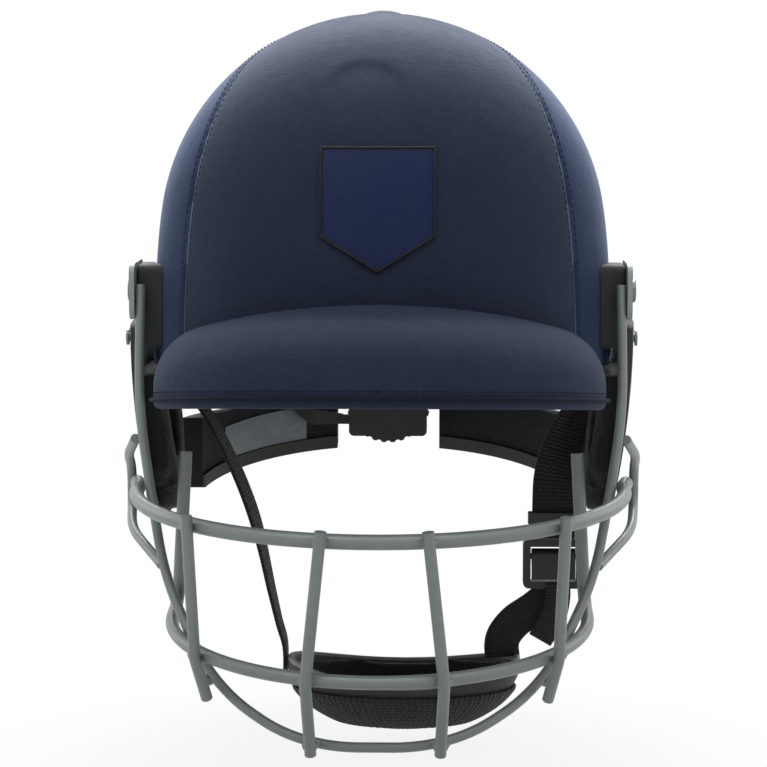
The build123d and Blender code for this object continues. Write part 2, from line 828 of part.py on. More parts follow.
with BuildPart() as nape_guard:
    add(nape_outer_form)
    add(nape_inner_form, mode=Mode.SUBTRACT)
    add(wing_outline, mode=Mode.INTERSECT)
save_pair(nape_guard, "nape_guard")

with BuildPart() as nape_trim:
    add(trim_outer_form)
    add(trim_inner_form, mode=Mode.SUBTRACT)
    add(trim_outline, mode=Mode.INTERSECT)
save_group(nape_trim, "nape_trims")

clip_boxes = [block((place, nape_front_y, nape_top + fit), (place + clip_width, dome_back, rim_nape_height - fit))
              for place in clip_places]
with BuildPart() as nape_clips:
    for box in clip_boxes:
        add(box)
    add(nape_outer_form, mode=Mode.INTERSECT)
    add(clip_inner_form, mode=Mode.SUBTRACT)
save_group(nape_clips, "nape_clips")

with BuildPart() as size_sticker:
    add(trim_outer_form)
    add(sticker_inner_form, mode=Mode.SUBTRACT)
    add(sticker_outline, mode=Mode.INTERSECT)
    add(block((sticker_span[0], nape_front_y, -dome_wall_depth), (sticker_span[1], dome_back, 0)),
        mode=Mode.INTERSECT)
    mirror(about=Plane.YZ, mode=Mode.REPLACE)
save(size_sticker, "size_sticker")


# Fit adjuster: a dial and pinion drive two toothed arms apart
tooth_pitch = 2 * math.pi * pinion_radius / pinion_teeth
tooth_depth = tooth_addendum + tooth_dedendum
tooth_slant = 90 - math.degrees(math.atan2((tooth_root - tooth_tip) / 2, tooth_depth + fit))
housing_inside_front = housing_front + housing_wall
housing_inside_back = housing_back - housing_wall
rack_back = rack_front + rack_thickness


def bar_along_y(x, z, radius, start, end):
    """A round bar along Y from start to end, at x and z, where end lies further back."""
    with BuildPart() as bar:
        with BuildSketch(Plane.XZ.offset(-start)):
            with Locations((x, z)):
                Circle(radius)
        extrude(amount=start - end)
    return bar.part


with BuildPart() as adjuster_housing:
    add(block((-housing_half_width, housing_front, housing_bottom), (housing_half_width, housing_back, housing_top)))
    fillet(adjuster_housing.edges().filter_by(Axis.Y), housing_corner)
    add(block((-housing_half_width - overrun, housing_inside_front, housing_bottom + housing_wall),
              (housing_half_width + overrun, housing_inside_back, housing_top - housing_wall)), mode=Mode.SUBTRACT)
    add(bar_along_y(0, adjuster_z, shaft_radius + free / 2, housing_inside_back - fit, housing_back + overrun),
        mode=Mode.SUBTRACT)
save(adjuster_housing, "adjuster_housing")

with BuildPart() as adjuster_hanger:
    hanger_front = dome_back - pad_inset - hanger_thickness
    add(block((-hanger_half_width, hanger_front, housing_top + fit / 2), (hanger_half_width, dome_back, hanger_top)))
    fillet(adjuster_hanger.edges().filter_by(Axis.Y).group_by(Axis.Z)[-1], housing_corner)
    add(pad_form, mode=Mode.INTERSECT)
save(adjuster_hanger, "adjuster_hanger")

with BuildPart() as adjuster_dial:
    add(bar_along_y(0, adjuster_z, dial_radius, dial_front, dial_front + dial_thickness))
    fillet(adjuster_dial.edges(), dial_notch_radius / 2)
    with BuildSketch(Plane.XZ.offset(-dial_front + overrun)):
        with Locations((0, adjuster_z)):
            with PolarLocations(dial_radius + dial_notch_radius / 3, dial_notches):
                Circle(dial_notch_radius)
    extrude(amount=-dial_thickness - 2 * overrun, mode=Mode.SUBTRACT)
save(adjuster_dial, "adjuster_dial")

pinion_front = rack_front - fit
with BuildPart() as adjuster_pinion:
    with BuildSketch(Plane.XZ.offset(-pinion_front)):
        with Locations((0, adjuster_z)):
            Circle(pinion_radius - tooth_dedendum)
            with PolarLocations(0, pinion_teeth, start_angle=90):
                with Locations((pinion_radius - tooth_dedendum - fit, 0)):
                    Trapezoid(tooth_root, tooth_depth + fit, tooth_slant, rotation=-90,
                              align=(Align.CENTER, Align.MIN))
    extrude(amount=-rack_thickness - 2 * fit)
    add(bar_along_y(0, adjuster_z, shaft_radius, pinion_front, dial_front - fit / 2))
save(adjuster_pinion, "adjuster_pinion")


def adjuster_arm(above):
    """A toothed arm on the left: above is 1 for the rack over the pinion and -1 for the one under it."""
    root_z = adjuster_z + above * (pinion_radius + tooth_dedendum)
    outer_z = root_z + above * (rack_height - tooth_depth)
    tongue_z = adjuster_z + arm_rise
    inner_x, turn_x, outer_x = arm_path[0][0] - arm_thickness, arm_path[1][0], arm_path[-3][0]
    low_z, high_z = sorted((root_z, outer_z))
    half = rack_height / 2
    with BuildPart() as slope:
        with BuildSketch(Plane.XZ):
            with BuildLine():
                Polyline((inner_x, low_z), (turn_x, low_z), (outer_x, tongue_z - half),
                         (outer_x + 2 * overrun, tongue_z - half), (outer_x + 2 * overrun, tongue_z + half),
                         (outer_x, tongue_z + half), (turn_x, high_z + half), (inner_x, high_z), close=True)
            make_face()
        extrude(amount=-dome_back)
    with BuildPart() as band:
        with BuildSketch(Plane.XY.offset(adjuster_z - arm_rise)):
            with BuildLine():
                FilletPolyline(arm_path, radius=bend_radii(arm_path, arm_height))
            trace(line_width=arm_thickness)
        extrude(amount=3 * arm_rise)
        add(slope.part, mode=Mode.INTERSECT)
    with BuildPart() as arm:
        add(band.part)
        add(block((rack_inner_end, rack_front, low_z), (rack_outer_end, rack_back, high_z)))
        with BuildSketch(Plane.XZ.offset(-rack_front)):
            for tooth in range(rack_teeth):
                with Locations(((tooth - rack_teeth / 2) * tooth_pitch, root_z + above * fit)):
                    Trapezoid(tooth_root, tooth_depth + fit, tooth_slant, rotation=90 + above * 90,
                              align=(Align.CENTER, Align.MIN))
        extrude(amount=-rack_thickness)
    return arm


save(adjuster_arm(1), "adjuster_arm_left")
with BuildPart() as adjuster_arm_right:
    mirror(adjuster_arm(-1).part, about=Plane.YZ)
save(adjuster_arm_right, "adjuster_arm_right")

tongue_y = arm_path[-1][1]
tongue_z = adjuster_z + arm_rise
half_tongue = rack_height / 2 + free
half_slot = arm_thickness / 2 + free
with BuildPart() as arm_sleeve:
    add(block((sleeve_inner_x, tongue_y - half_slot - sleeve_wall, tongue_z - half_tongue - sleeve_wall),
              (dome_half_width, tongue_y + half_slot + sleeve_wall, tongue_z + half_tongue + sleeve_wall)))
    add(shell_inside_form, mode=Mode.INTERSECT)
    add(block((sleeve_inner_x - overrun, tongue_y - half_slot, tongue_z - half_tongue),
              (dome_half_width, tongue_y + half_slot, tongue_z + half_tongue)), mode=Mode.SUBTRACT)
save_group(arm_sleeve, "arm_sleeves")


# Chin strap
strap_inside = strap_outside - strap_thickness
shoulder_outside = dome_half_width - shell_inside_inset
with BuildPart() as strap_shoulder:
    add(across(strap_y, strap_pivot_z, strap_shoulder_radius, strap_outside + fit, dome_half_width))
    add(shell_inside_form, mode=Mode.INTERSECT)
with BuildPart() as strap_rivets:
    add(strap_shoulder.part)
    add(across(strap_y, strap_pivot_z, strap_rivet_radius, strap_inside - fit - strap_head_height,
               dome_half_width + strap_head_height))
    add(across(strap_y, strap_pivot_z, strap_head_radius, strap_inside - fit - strap_head_height, strap_inside - fit))
save_group(strap_rivets, "strap_rivets")

pivot_hole = across(strap_y, strap_pivot_z, strap_rivet_radius + free / 2, -reach, reach)
pivot_disc = across(strap_y, strap_pivot_z, strap_width / 2, strap_inside, strap_outside)


with BuildPart() as strap_right:
    with BuildSketch(Plane.XZ.offset(-strap_y)):
        with BuildLine():
            FilletPolyline(strap_right_path, radius=bend_radii(strap_right_path))
        trace(line_width=strap_thickness)
    extrude(amount=strap_width / 2, both=True)
    add(block((strap_inside - overrun, strap_y - strap_width, strap_pivot_z),
              (strap_outside + overrun, strap_y + strap_width, strap_pivot_z + overrun)), mode=Mode.SUBTRACT)
    add(pivot_disc)
    add(pivot_hole, mode=Mode.SUBTRACT)
    mirror(about=Plane.YZ, mode=Mode.REPLACE)
save(strap_right, "strap_right")


def webbing_section(x, y, z, turn):
    """The section of a hanging strap at a point, turned from facing sideways towards facing forwards."""
    with BuildSketch(Plane.XY.offset(z)) as section:
        with Locations((x, y)):
            Rectangle(strap_thickness, strap_width, rotation=turn)
    return section.sketch


with BuildPart() as strap_left:
    twist = [webbing_section(*row) for row in strap_twist]
    loft(twist)
    add(block((buckle_x - strap_width / 2, buckle_y - strap_thickness / 2, buckle_top + fit),
              (buckle_x + strap_width / 2, buckle_y + strap_thickness / 2, strap_twist[-1][2])))
    add(pivot_disc)
    add(pivot_hole, mode=Mode.SUBTRACT)
save(strap_left, "strap_left")

with BuildPart() as strap_left_lower:
    with BuildSketch(Plane.XZ.offset(-buckle_y)):
        with BuildLine():
            half = strap_lower_width / 2
            (high_x, high_z), (low_x, low_z) = strap_lower_path
            Polyline((high_x - half, high_z), (high_x + half, high_z), (low_x + half, low_z), (low_x - half, low_z),
                     close=True)
        make_face()
    extrude(amount=strap_thickness / 2, both=True)
save(strap_left_lower, "strap_left_lower")
with BuildPart() as strap_tail:
    with BuildSketch(Plane.XZ.offset(-tail_y)):
        with BuildLine():
            FilletPolyline(tail_path, radius=bend_radii(tail_path, strap_width))
        trace(line_width=tail_width)
    extrude(amount=strap_thickness / 2, both=True)
save(strap_tail, "strap_tail")

buckle_bottom = buckle_top - buckle_height
buckle_front = buckle_y - buckle_thickness / 2
buckle_back = buckle_y + buckle_thickness / 2
lever_z = buckle_top - buckle_height / 2 + buckle_bar
window_low = buckle_x - buckle_width / 2 + buckle_side
window_high = buckle_x + buckle_width / 2 - buckle_side
with BuildPart() as buckle_frame:
    add(block((buckle_x - buckle_width / 2, buckle_front, buckle_bottom),
              (buckle_x + buckle_width / 2, buckle_back, buckle_top)))
    fillet(buckle_frame.edges().filter_by(Axis.Y), buckle_corner)
    add(block((window_low, buckle_front - overrun, buckle_bottom + buckle_bar),
              (window_high, buckle_back + overrun, buckle_top - buckle_bar)), mode=Mode.SUBTRACT)
    add(across(buckle_y, lever_z, lever_pin_radius, window_low - fit, window_high + fit))
save(buckle_frame, "buckle_frame")

with BuildPart() as buckle_lever:
    add(across(buckle_y, lever_z, lever_pin_radius + lever_thickness, window_low + free, window_high - free))
    add(block((window_low + free, buckle_y - lever_pin_radius - lever_thickness, lever_z - lever_length),
              (window_high - free, buckle_y - lever_pin_radius, lever_z)))
    add(across(buckle_y, lever_z, lever_pin_radius + fit, -reach, reach), mode=Mode.SUBTRACT)
save(buckle_lever, "buckle_lever")

with BuildPart() as strap_keeper:
    half_x = strap_width / 2 + free
    half_y = strap_thickness / 2 + free
    add(block((buckle_x - half_x - keeper_wall, buckle_y - half_y - keeper_wall, keeper_top - keeper_height),
              (buckle_x + half_x + keeper_wall, buckle_y + half_y + keeper_wall, keeper_top)))
    fillet(strap_keeper.edges().filter_by(Axis.Z), keeper_wall)
    add(block((buckle_x - half_x, buckle_y - half_y, keeper_top - keeper_height - overrun),
              (buckle_x + half_x, buckle_y + half_y, keeper_top + overrun)), mode=Mode.SUBTRACT)
save(strap_keeper, "strap_keeper")


# Chin cup
def cup_form(inset):
    """The lower half of an ellipsoid, drawn in by inset, with its rim lowered at the front and back."""
    half_width = cup_half_width - inset
    with BuildPart() as form:
        Sphere(half_width)
        scale(by=(1, (cup_half_depth - inset) / half_width, (cup_depth - inset) / half_width))
        split(bisect_by=Plane.XY, keep=Keep.BOTTOM)
    rim = across(cup_y, cup_z - cup_rim_radius, cup_rim_radius, -reach, reach)
    with BuildPart() as trimmed:
        add(Pos(cup_x, cup_y, cup_z) * form.part)
        add(rim, mode=Mode.INTERSECT)
    return trimmed.part


cup_outside = cup_form(0)
cup_inside = cup_form(cup_wall)
cup_pad_outside = cup_form(cup_wall + fit)
cup_pad_inside = cup_form(cup_wall + fit + cup_pad_thickness)
cup_webbing_outside = cup_form(-fit - cup_webbing_thickness)
cup_webbing_inside = cup_form(-fit)

with BuildPart() as chin_cup:
    add(cup_outside)
    add(cup_inside, mode=Mode.SUBTRACT)
save(chin_cup, "chin_cup")

with BuildPart() as chin_pad:
    add(cup_pad_outside)
    add(cup_pad_inside, mode=Mode.SUBTRACT)
save(chin_pad, "chin_pad")

with BuildPart() as cup_webbing:
    add(cup_webbing_outside)
    add(cup_webbing_inside, mode=Mode.SUBTRACT)
    add(block((-reach, cup_y - reach, cup_webbing_bottom), (reach, cup_y + reach, cup_webbing_top)),
        mode=Mode.INTERSECT)
save(cup_webbing, "cup_webbing")
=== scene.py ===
"""The looks of a cricket helmet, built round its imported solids.

Sizes are in millimetres until a mesh is made. +Z is up, the wearer faces -Y, and the wearer's left is +X.
"""

import logging
import math
from dataclasses import dataclass, field
from enum import Enum

import bmesh
import bpy
import numpy as np
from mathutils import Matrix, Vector


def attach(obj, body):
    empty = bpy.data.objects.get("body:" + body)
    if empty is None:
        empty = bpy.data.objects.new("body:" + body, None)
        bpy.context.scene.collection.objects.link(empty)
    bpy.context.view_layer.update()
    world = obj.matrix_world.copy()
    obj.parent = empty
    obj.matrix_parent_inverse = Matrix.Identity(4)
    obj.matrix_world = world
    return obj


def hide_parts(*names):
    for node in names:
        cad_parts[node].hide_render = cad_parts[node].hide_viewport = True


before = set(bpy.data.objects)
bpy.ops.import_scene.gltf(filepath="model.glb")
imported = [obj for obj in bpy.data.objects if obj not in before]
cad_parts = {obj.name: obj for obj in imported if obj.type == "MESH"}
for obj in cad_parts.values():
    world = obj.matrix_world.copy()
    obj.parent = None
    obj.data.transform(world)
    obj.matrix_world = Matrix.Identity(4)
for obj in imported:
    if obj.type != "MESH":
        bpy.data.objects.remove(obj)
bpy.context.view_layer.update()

MM = 0.001
TURN = 2 * math.pi
log = logging.getLogger("helmet")


class Side(Enum):
    """The wearer's side that a piece is on, with the sign of its x."""

    LEFT = 1
    RIGHT = -1

    @property
    def word(self) -> str:
        """The side's word in the names of nodes."""
        return self.name.lower()


# Shader maths
class Socket:
    """An output of a shader node that takes part in sums."""

    def __init__(self, shader: "Shader", output: bpy.types.NodeSocket) -> None:
        self.shader = shader
        self.output = output

    def __add__(self, other: "Socket | float") -> "Socket":
        return self.shader.maths("ADD", self, other)

    def __radd__(self, other: float) -> "Socket":
        return self.shader.maths("ADD", other, self)

    def __sub__(self, other: "Socket | float") -> "Socket":
        return self.shader.maths("SUBTRACT", self, other)

    def __mul__(self, other: "Socket | float") -> "Socket":
        return self.shader.maths("MULTIPLY", self, other)

    def sine(self) -> "Socket":
        """The sine of the value."""
        return self.shader.maths("SINE", self)

    def clamped(self) -> "Socket":
        """The value held between 0 and 1."""
        return self.shader.node("ShaderNodeClamp", {}, {"Value": self})["Result"]


class Shader:
    """A material's node tree, written as expressions."""

    def __init__(self, name: str, **plain: object) -> None:
        """Starts a material.

        Args:
            name: the material's name.
            plain: values of the principled shader's own sockets, such as Sheen_Weight.
        """
        self.material = bpy.data.materials.new(name)
        self.material.use_nodes = True
        self.tree = self.material.node_tree
        self.surface = self.tree.nodes["Principled BSDF"]
        for socket, value in plain.items():
            self.surface.inputs[socket.replace("_", " ")].default_value = value

    def node(self, kind: str, settings: dict[str, object], inputs: dict[object, object]) -> dict[str, Socket]:
        """Makes a node.

        Args:
            kind: the node's type.
            settings: its own settings, set first.
            inputs: a value or a link for each socket, by name or number.

        Returns:
            The node's outputs by name.
        """
        made = self.tree.nodes.new(kind)
        for setting, value in settings.items():
            setattr(made, setting, value)
        for socket, value in inputs.items():
            if isinstance(value, Socket):
                self.tree.links.new(value.output, made.inputs[socket])
            else:
                made.inputs[socket].default_value = value
        return {output.name: Socket(self, output) for output in made.outputs if output.enabled}

    def maths(self, operation: str, *values: "Socket | float") -> Socket:
        """A Math node on one or two values."""
        return self.node("ShaderNodeMath", {"operation": operation}, dict(enumerate(values)))["Value"]

    def place(self) -> Socket:
        """The point on the piece, in its own coordinates."""
        return self.node("ShaderNodeTexCoord", {}, {})["Object"]

    def axes(self, vector: Socket) -> tuple[Socket, Socket, Socket]:
        """The three parts of a vector."""
        parts = self.node("ShaderNodeSeparateXYZ", {}, {"Vector": vector})
        return parts["X"], parts["Y"], parts["Z"]

    def cloth_axes(self) -> tuple[Socket, Socket]:
        """The piece's own map: millimetres along and across the cloth."""
        along, across, _ = self.axes(self.node("ShaderNodeUVMap", {"uv_map": "cloth"}, {})["UV"])
        return along, across

    def noise(self, pitch: float, detail: float = 2.0,
              stretch: tuple[float, float, float] = (1, 1, 1)) -> Socket:
        """Soft noise from 0 to 1.

        Args:
            pitch: the size of its blotches in millimetres.
            detail: how many finer layers it has.
            stretch: how much more often it changes along each axis.
        """
        mapped = self.node("ShaderNodeMapping", {}, {"Vector": self.place(), "Scale": stretch})["Vector"]
        inputs = {"Vector": mapped, "Scale": 1 / (pitch * MM), "Detail": detail}
        return self.node("ShaderNodeTexNoise", {}, inputs)["Fac"]

    def cells(self, pitch: float) -> Socket:
        """The distance to the nearest of scattered points, for grains and beads of that pitch."""
        inputs = {"Vector": self.place(), "Scale": 1 / (pitch * MM)}
        return self.node("ShaderNodeTexVoronoi", {}, inputs)["Distance"]

    def tint(self, share: Socket, colour: tuple[float, float, float], low: float, high: float) -> None:
        """Colours the surface between two shades of a colour.

        Args:
            share: 0 for the darker shade and 1 for the lighter one.
            colour: the colour itself.
            low: the factor of the darker shade.
            high: the factor of the lighter shade.
        """
        inputs = {0: share, 6: (*shade(colour, low), 1.0), 7: (*shade(colour, high), 1.0)}
        made = self.node("ShaderNodeMix", {"data_type": "RGBA"}, inputs)
        self.tree.links.new(made["Result"].output, self.surface.inputs["Base Color"])

    def bump(self, height: Socket, depth: float) -> None:
        """Raises the surface by a height of up to depth millimetres."""
        made = self.node("ShaderNodeBump", {}, {"Height": height, "Distance": depth * MM, "Strength": 1.0})
        self.tree.links.new(made["Normal"].output, self.surface.inputs["Normal"])

    def roughness(self, roughness: Socket) -> None:
        """Sets how matt the surface is from place to place."""
        self.tree.links.new(roughness.output, self.surface.inputs["Roughness"])


def shade(colour: tuple[float, float, float], factor: float) -> tuple[float, float, float]:
    """A colour made lighter or darker by a factor."""
    return tuple(min(1.0, part * factor) for part in colour)


def linear(red: int, green: int, blue: int) -> tuple[float, float, float]:
    """A screen colour from 0 to 255 as the linear colour that a shader takes."""
    parts = np.array([red, green, blue]) / 255
    low, high = parts / 12.92, ((parts + 0.055) / 1.055) ** 2.4
    return tuple(float(part) for part in np.where(parts < 0.04045, low, high))


# Finishes
@dataclass(frozen=True)
class Jersey:
    """Stretch knit cloth, with fine wales along the cloth and a soft sheen."""

    name: str
    colour: tuple[float, float, float]
    wale: float = 1.1
    sheen: float = 0.27
    depth: float = 0.12

    def material(self) -> bpy.types.Material:
        """Wales and courses from the cloth's own map, over broad soft changes of colour."""
        shader = Shader(self.name, Sheen_Weight=self.sheen, Sheen_Roughness=0.35,
                        Sheen_Tint=(0.62, 0.76, 1.0, 1.0), Specular_IOR_Level=0.2)
        along, across = shader.cloth_axes()
        wale = (along * (TURN / self.wale)).sine()
        course = (across * (TURN / (self.wale * 0.8))).sine()
        knit = wale * 0.16 + course * 0.1 + shader.noise(0.9) * 1.2
        blotch = shader.noise(26, 3) * 0.55 + shader.noise(1.6, 3) * 0.7 + knit * 0.03 - 0.1
        shader.tint(blotch.clamped(), self.colour, 0.7, 1.36)
        shader.roughness(0.78 + shader.noise(5) * 0.16)
        shader.bump(knit + shader.noise(9, 3) * 2.2, self.depth)
        return shader.material


@dataclass(frozen=True)
class Satin:
    """Close satin stitches, all lying one way."""

    name: str
    colour: tuple[float, float, float]
    pitch: float = 0.7

    def material(self) -> bpy.types.Material:
        """Fine threads across the patch."""
        shader = Shader(self.name, Sheen_Weight=0.03, Specular_IOR_Level=0.2)
        across, _, up = shader.axes(shader.place())
        thread = ((across + up * 0.35) * (TURN / (self.pitch * MM))).sine() * 0.5 + 0.5
        mix = thread * 0.6 + shader.noise(1.5) * 0.4
        shader.tint(mix, self.colour, 0.7, 1.25)
        shader.roughness(0.42 + shader.noise(3) * 0.2)
        shader.bump(thread, 0.15)
        return shader.material


@dataclass(frozen=True)
class PowderCoat:
    """Grey powder coat on wire and plate, with a fine orange-peel skin."""

    name: str
    colour: tuple[float, float, float]

    def material(self) -> bpy.types.Material:
        """Orange peel in the skin, and a slight change of grey over the length of a wire."""
        shader = Shader(self.name, Metallic=0.15, Specular_IOR_Level=0.55, Coat_Weight=0.12,
                        Coat_Roughness=0.3)
        peel = shader.noise(0.9, 1) * 0.7 + shader.noise(0.35, 1) * 0.3
        drift = shader.noise(22, 3) * 0.6 + shader.noise(2.5, 2) * 0.4
        shader.tint(drift, self.colour, 0.84, 1.18)
        shader.roughness(0.36 + shader.noise(6, 3) * 0.18)
        shader.bump(peel, 0.05)
        return shader.material


@dataclass(frozen=True)
class Grain:
    """Moulded rubber, foam or plastic with a grain of scattered beads."""

    name: str
    colour: tuple[float, float, float]
    pitch: float = 1.2
    depth: float = 0.12
    matt: float = 0.7
    spread: float = 1.35
    shine: float = 0.4

    def material(self) -> bpy.types.Material:
        """Beads in the skin, and dusty blotches."""
        shader = Shader(self.name, Specular_IOR_Level=self.shine)
        bead = shader.cells(self.pitch)
        dust = shader.noise(14, 4) * 0.55 + shader.noise(1.6, 2) * 0.3 + bead * 0.25
        shader.tint(dust.clamped(), self.colour, 1 / self.spread, self.spread)
        shader.roughness(self.matt - 0.1 + shader.noise(4, 3) * 0.2)
        shader.bump(bead + shader.noise(0.7) * 0.5, self.depth)
        return shader.material


@dataclass(frozen=True)
class PadCloth:
    """Brushed lining cloth over foam."""

    name: str
    colour: tuple[float, float, float]
    pitch: float = 1.4

    def material(self) -> bpy.types.Material:
        """A lattice of small holes, softened by nap."""
        shader = Shader(self.name, Sheen_Weight=0.25, Sheen_Roughness=0.5, Specular_IOR_Level=0.2)
        parts = shader.axes(shader.place())
        left, front, up = ((part * (TURN / (self.pitch * MM))).sine() for part in parts)
        holes = left * front + front * up + up * left
        nap = shader.noise(0.6) * 0.8 + holes * 0.35
        shader.tint((nap * 0.6 + shader.noise(9, 3) * 0.5).clamped(), self.colour, 0.6, 1.5)
        shader.roughness(0.82 + shader.noise(4) * 0.12)
        shader.bump(nap, 0.25)
        return shader.material


@dataclass(frozen=True)
class Webbing:
    """Woven strap with ribs across it and a firm edge."""

    name: str
    colour: tuple[float, float, float]
    rib: float = 1.7

    def material(self) -> bpy.types.Material:
        """Ribs across the strap, broken by the warp, with a smoother selvedge."""
        shader = Shader(self.name, Sheen_Weight=0.2, Specular_IOR_Level=0.3)
        along, across = shader.cloth_axes()
        rib = (along * (TURN / self.rib) + (across * (TURN / 3.4)).sine() * 0.9).sine()
        warp = (across * (TURN / 1.1)).sine()
        weave = rib * 0.6 + warp * 0.3 + shader.noise(0.7) * 0.4
        shader.tint((weave * 0.35 + 0.35 + shader.noise(7) * 0.3).clamped(), self.colour, 0.5, 1.9)
        shader.roughness(0.7 + shader.noise(3) * 0.2)
        shader.bump(weave, 0.35)
        return shader.material


@dataclass(frozen=True)
class Metal:
    """Plated steel with fine turning marks."""

    name: str
    colour: tuple[float, float, float]

    def material(self) -> bpy.types.Material:
        """Scratches along the piece and dull spots."""
        shader = Shader(self.name, Metallic=1.0)
        scratch = shader.noise(1.2, 4, (0.2, 1.0, 1.0))
        shader.tint(scratch, self.colour, 0.8, 1.15)
        shader.roughness(0.26 + shader.noise(3, 3) * 0.22)
        shader.bump(scratch, 0.03)
        return shader.material


@dataclass(frozen=True)
class Film:
    """A blank silver label with the slight waves of film on foam."""

    name: str
    colour: tuple[float, float, float]

    def material(self) -> bpy.types.Material:
        """Slow waves and small dull marks."""
        shader = Shader(self.name, Metallic=0.35, Specular_IOR_Level=0.5)
        wave = shader.noise(7, 2) * 0.8 + shader.noise(1.5) * 0.2
        shader.tint(wave, self.colour, 0.85, 1.15)
        shader.roughness(0.3 + shader.noise(2.5, 3) * 0.3)
        shader.bump(wave, 0.4)
        return shader.material


# Meshes from grids
def grid_faces(rows: int, columns: int, wrap_rows: bool, wrap_columns: bool) -> tuple[np.ndarray, np.ndarray]:
    """The quads of a grid of points.

    Args:
        rows: number of rows.
        columns: number of columns.
        wrap_rows: whether the last row meets the first.
        wrap_columns: whether the last column meets the first.

    Returns:
        The point numbers of each quad, and the row and column of each corner before wrapping.
    """
    steps = np.arange(rows - (not wrap_rows)), np.arange(columns - (not wrap_columns))
    row, column = np.meshgrid(*steps, indexing="ij")
    corners = np.stack([np.stack([row + a, column + b], -1) for a, b in ((0, 0), (0, 1), (1, 1), (1, 0))], 2)
    corners = corners.reshape(-1, 4, 2)
    quads = (corners[..., 0] % rows) * columns + corners[..., 1] % columns
    return quads, corners


def surface(name: str, points: np.ndarray, wrap_rows: bool = False, wrap_columns: bool = False,
            chart: tuple[np.ndarray, np.ndarray] | None = None) -> bpy.types.Object:
    """A mesh through a grid of points, its doubles merged and its faces turned outwards.

    Args:
        name: the piece's name.
        points: rows, columns and coordinates in millimetres.
        wrap_rows: whether the last row meets the first.
        wrap_columns: whether the last column meets the first.
        chart: millimetres along the rows and across the columns, for the cloth's map.
    """
    rows, columns = points.shape[:2]
    quads, corners = grid_faces(rows, columns, wrap_rows, wrap_columns)
    mesh = bpy.data.meshes.new(name)
    mesh.from_pydata((points.reshape(-1, 3) * MM).tolist(), [], quads.tolist())
    if chart is not None:
        along, across = chart
        placed = np.stack([along[corners[..., 0]], across[corners[..., 1]]], -1)
        mesh.uv_layers.new(name="cloth").data.foreach_set("uv", placed.reshape(-1))
    return finished(name, mesh)


def finished(name: str, mesh: bpy.types.Mesh) -> bpy.types.Object:
    """Puts a mesh into the scene with its doubles merged, its faces outwards and its shading smooth."""
    form = bmesh.new()
    form.from_mesh(mesh)
    bmesh.ops.remove_doubles(form, verts=form.verts, dist=0.002 * MM)
    bmesh.ops.dissolve_degenerate(form, edges=form.edges, dist=0.0005 * MM)
    bmesh.ops.recalc_face_normals(form, faces=form.faces)
    form.to_mesh(mesh)
    form.free()
    mesh.shade_smooth()
    piece = bpy.data.objects.new(name, mesh)
    bpy.context.scene.collection.objects.link(piece)
    return piece


def coordinates(mesh: bpy.types.Mesh) -> np.ndarray:
    """The points of a mesh in millimetres."""
    flat = np.empty(len(mesh.vertices) * 3)
    mesh.vertices.foreach_get("co", flat)
    return flat.reshape(-1, 3) / MM


def move_points(mesh: bpy.types.Mesh, points: np.ndarray) -> None:
    """Gives a mesh new points, in millimetres."""
    mesh.vertices.foreach_set("co", (points * MM).reshape(-1))
    mesh.update()


def face_away(piece: bpy.types.Object, centre: tuple[float, float, float]) -> None:
    """Turns an open sheet's faces so that they look away from a point."""
    mesh = piece.data
    middles = np.empty(len(mesh.polygons) * 3)
    normals = np.empty(len(mesh.polygons) * 3)
    mesh.polygons.foreach_get("center", middles)
    mesh.polygons.foreach_get("normal", normals)
    outward = middles.reshape(-1, 3) - np.array(centre) * MM
    if (outward * normals.reshape(-1, 3)).sum() < 0:
        mesh.flip_normals()


def smoothed(points: np.ndarray, count: int) -> np.ndarray:
    """A smooth line through points.

    Each stretch is a cubic whose slope at a point is half the step between its neighbours.

    Args:
        points: the points, one per row.
        count: how many points the line gets.
    """
    points = np.asarray(points, float)
    padded = np.concatenate([2 * points[:1] - points[1:2], points, 2 * points[-1:] - points[-2:-1]])
    where = np.linspace(0, len(points) - 1, count)
    start = np.minimum(where.astype(int), len(points) - 2)
    share = (where - start)[:, None]
    a, b, c, d = (padded[start + k] for k in range(4))
    square, cube = 2 * a - 5 * b + 4 * c - d, 3 * b - a - 3 * c + d
    return 0.5 * (2 * b + (c - a) * share + square * share**2 + cube * share**3)


def unit(vectors: np.ndarray) -> np.ndarray:
    """Vectors made one long."""
    return vectors / np.maximum(np.linalg.norm(vectors, axis=-1, keepdims=True), 1e-9)


def run_length(path: np.ndarray) -> np.ndarray:
    """How far along a path each of its points lies."""
    steps = np.linalg.norm(np.diff(path, axis=0), axis=-1)
    return np.concatenate([[0.0], np.cumsum(steps)])


def carried(name: str, path: np.ndarray, across: np.ndarray, profile: np.ndarray, closed: bool = False,
            ) -> bpy.types.Object:
    """A closed profile carried along a path.

    At each point of the path, the profile's first number is laid out along across, and its second along the
    cross product of across and the path's direction. The ends are closed by a point at the profile's middle.

    Args:
        name: the piece's name.
        path: the points that the profile follows.
        across: the direction that the profile's first number is laid along, per point.
        profile: the profile's points.
        closed: whether the path's end meets its start.
    """
    ahead = np.roll(path, -1, 0) - np.roll(path, 1, 0) if closed else np.gradient(path, axis=0)
    forward = unit(ahead)
    across = unit(across - (across * forward).sum(-1, keepdims=True) * forward)
    up = np.cross(across, forward)
    rings = path[:, None] + profile[None, :, :1] * across[:, None] + profile[None, :, 1:] * up[:, None]
    along = run_length(path)
    if closed:
        along = np.append(along, along[-1] + np.linalg.norm(path[0] - path[-1]))
    else:
        tips = np.repeat(path[[0, -1], None], rings.shape[1], 1)
        rings = np.concatenate([tips[:1], rings, tips[1:]])
        along = np.concatenate([along[:1], along, along[-1:]])
    width = np.append(profile[:, 0], profile[0, 0])
    return surface(name, rings, closed, True, (along, width))


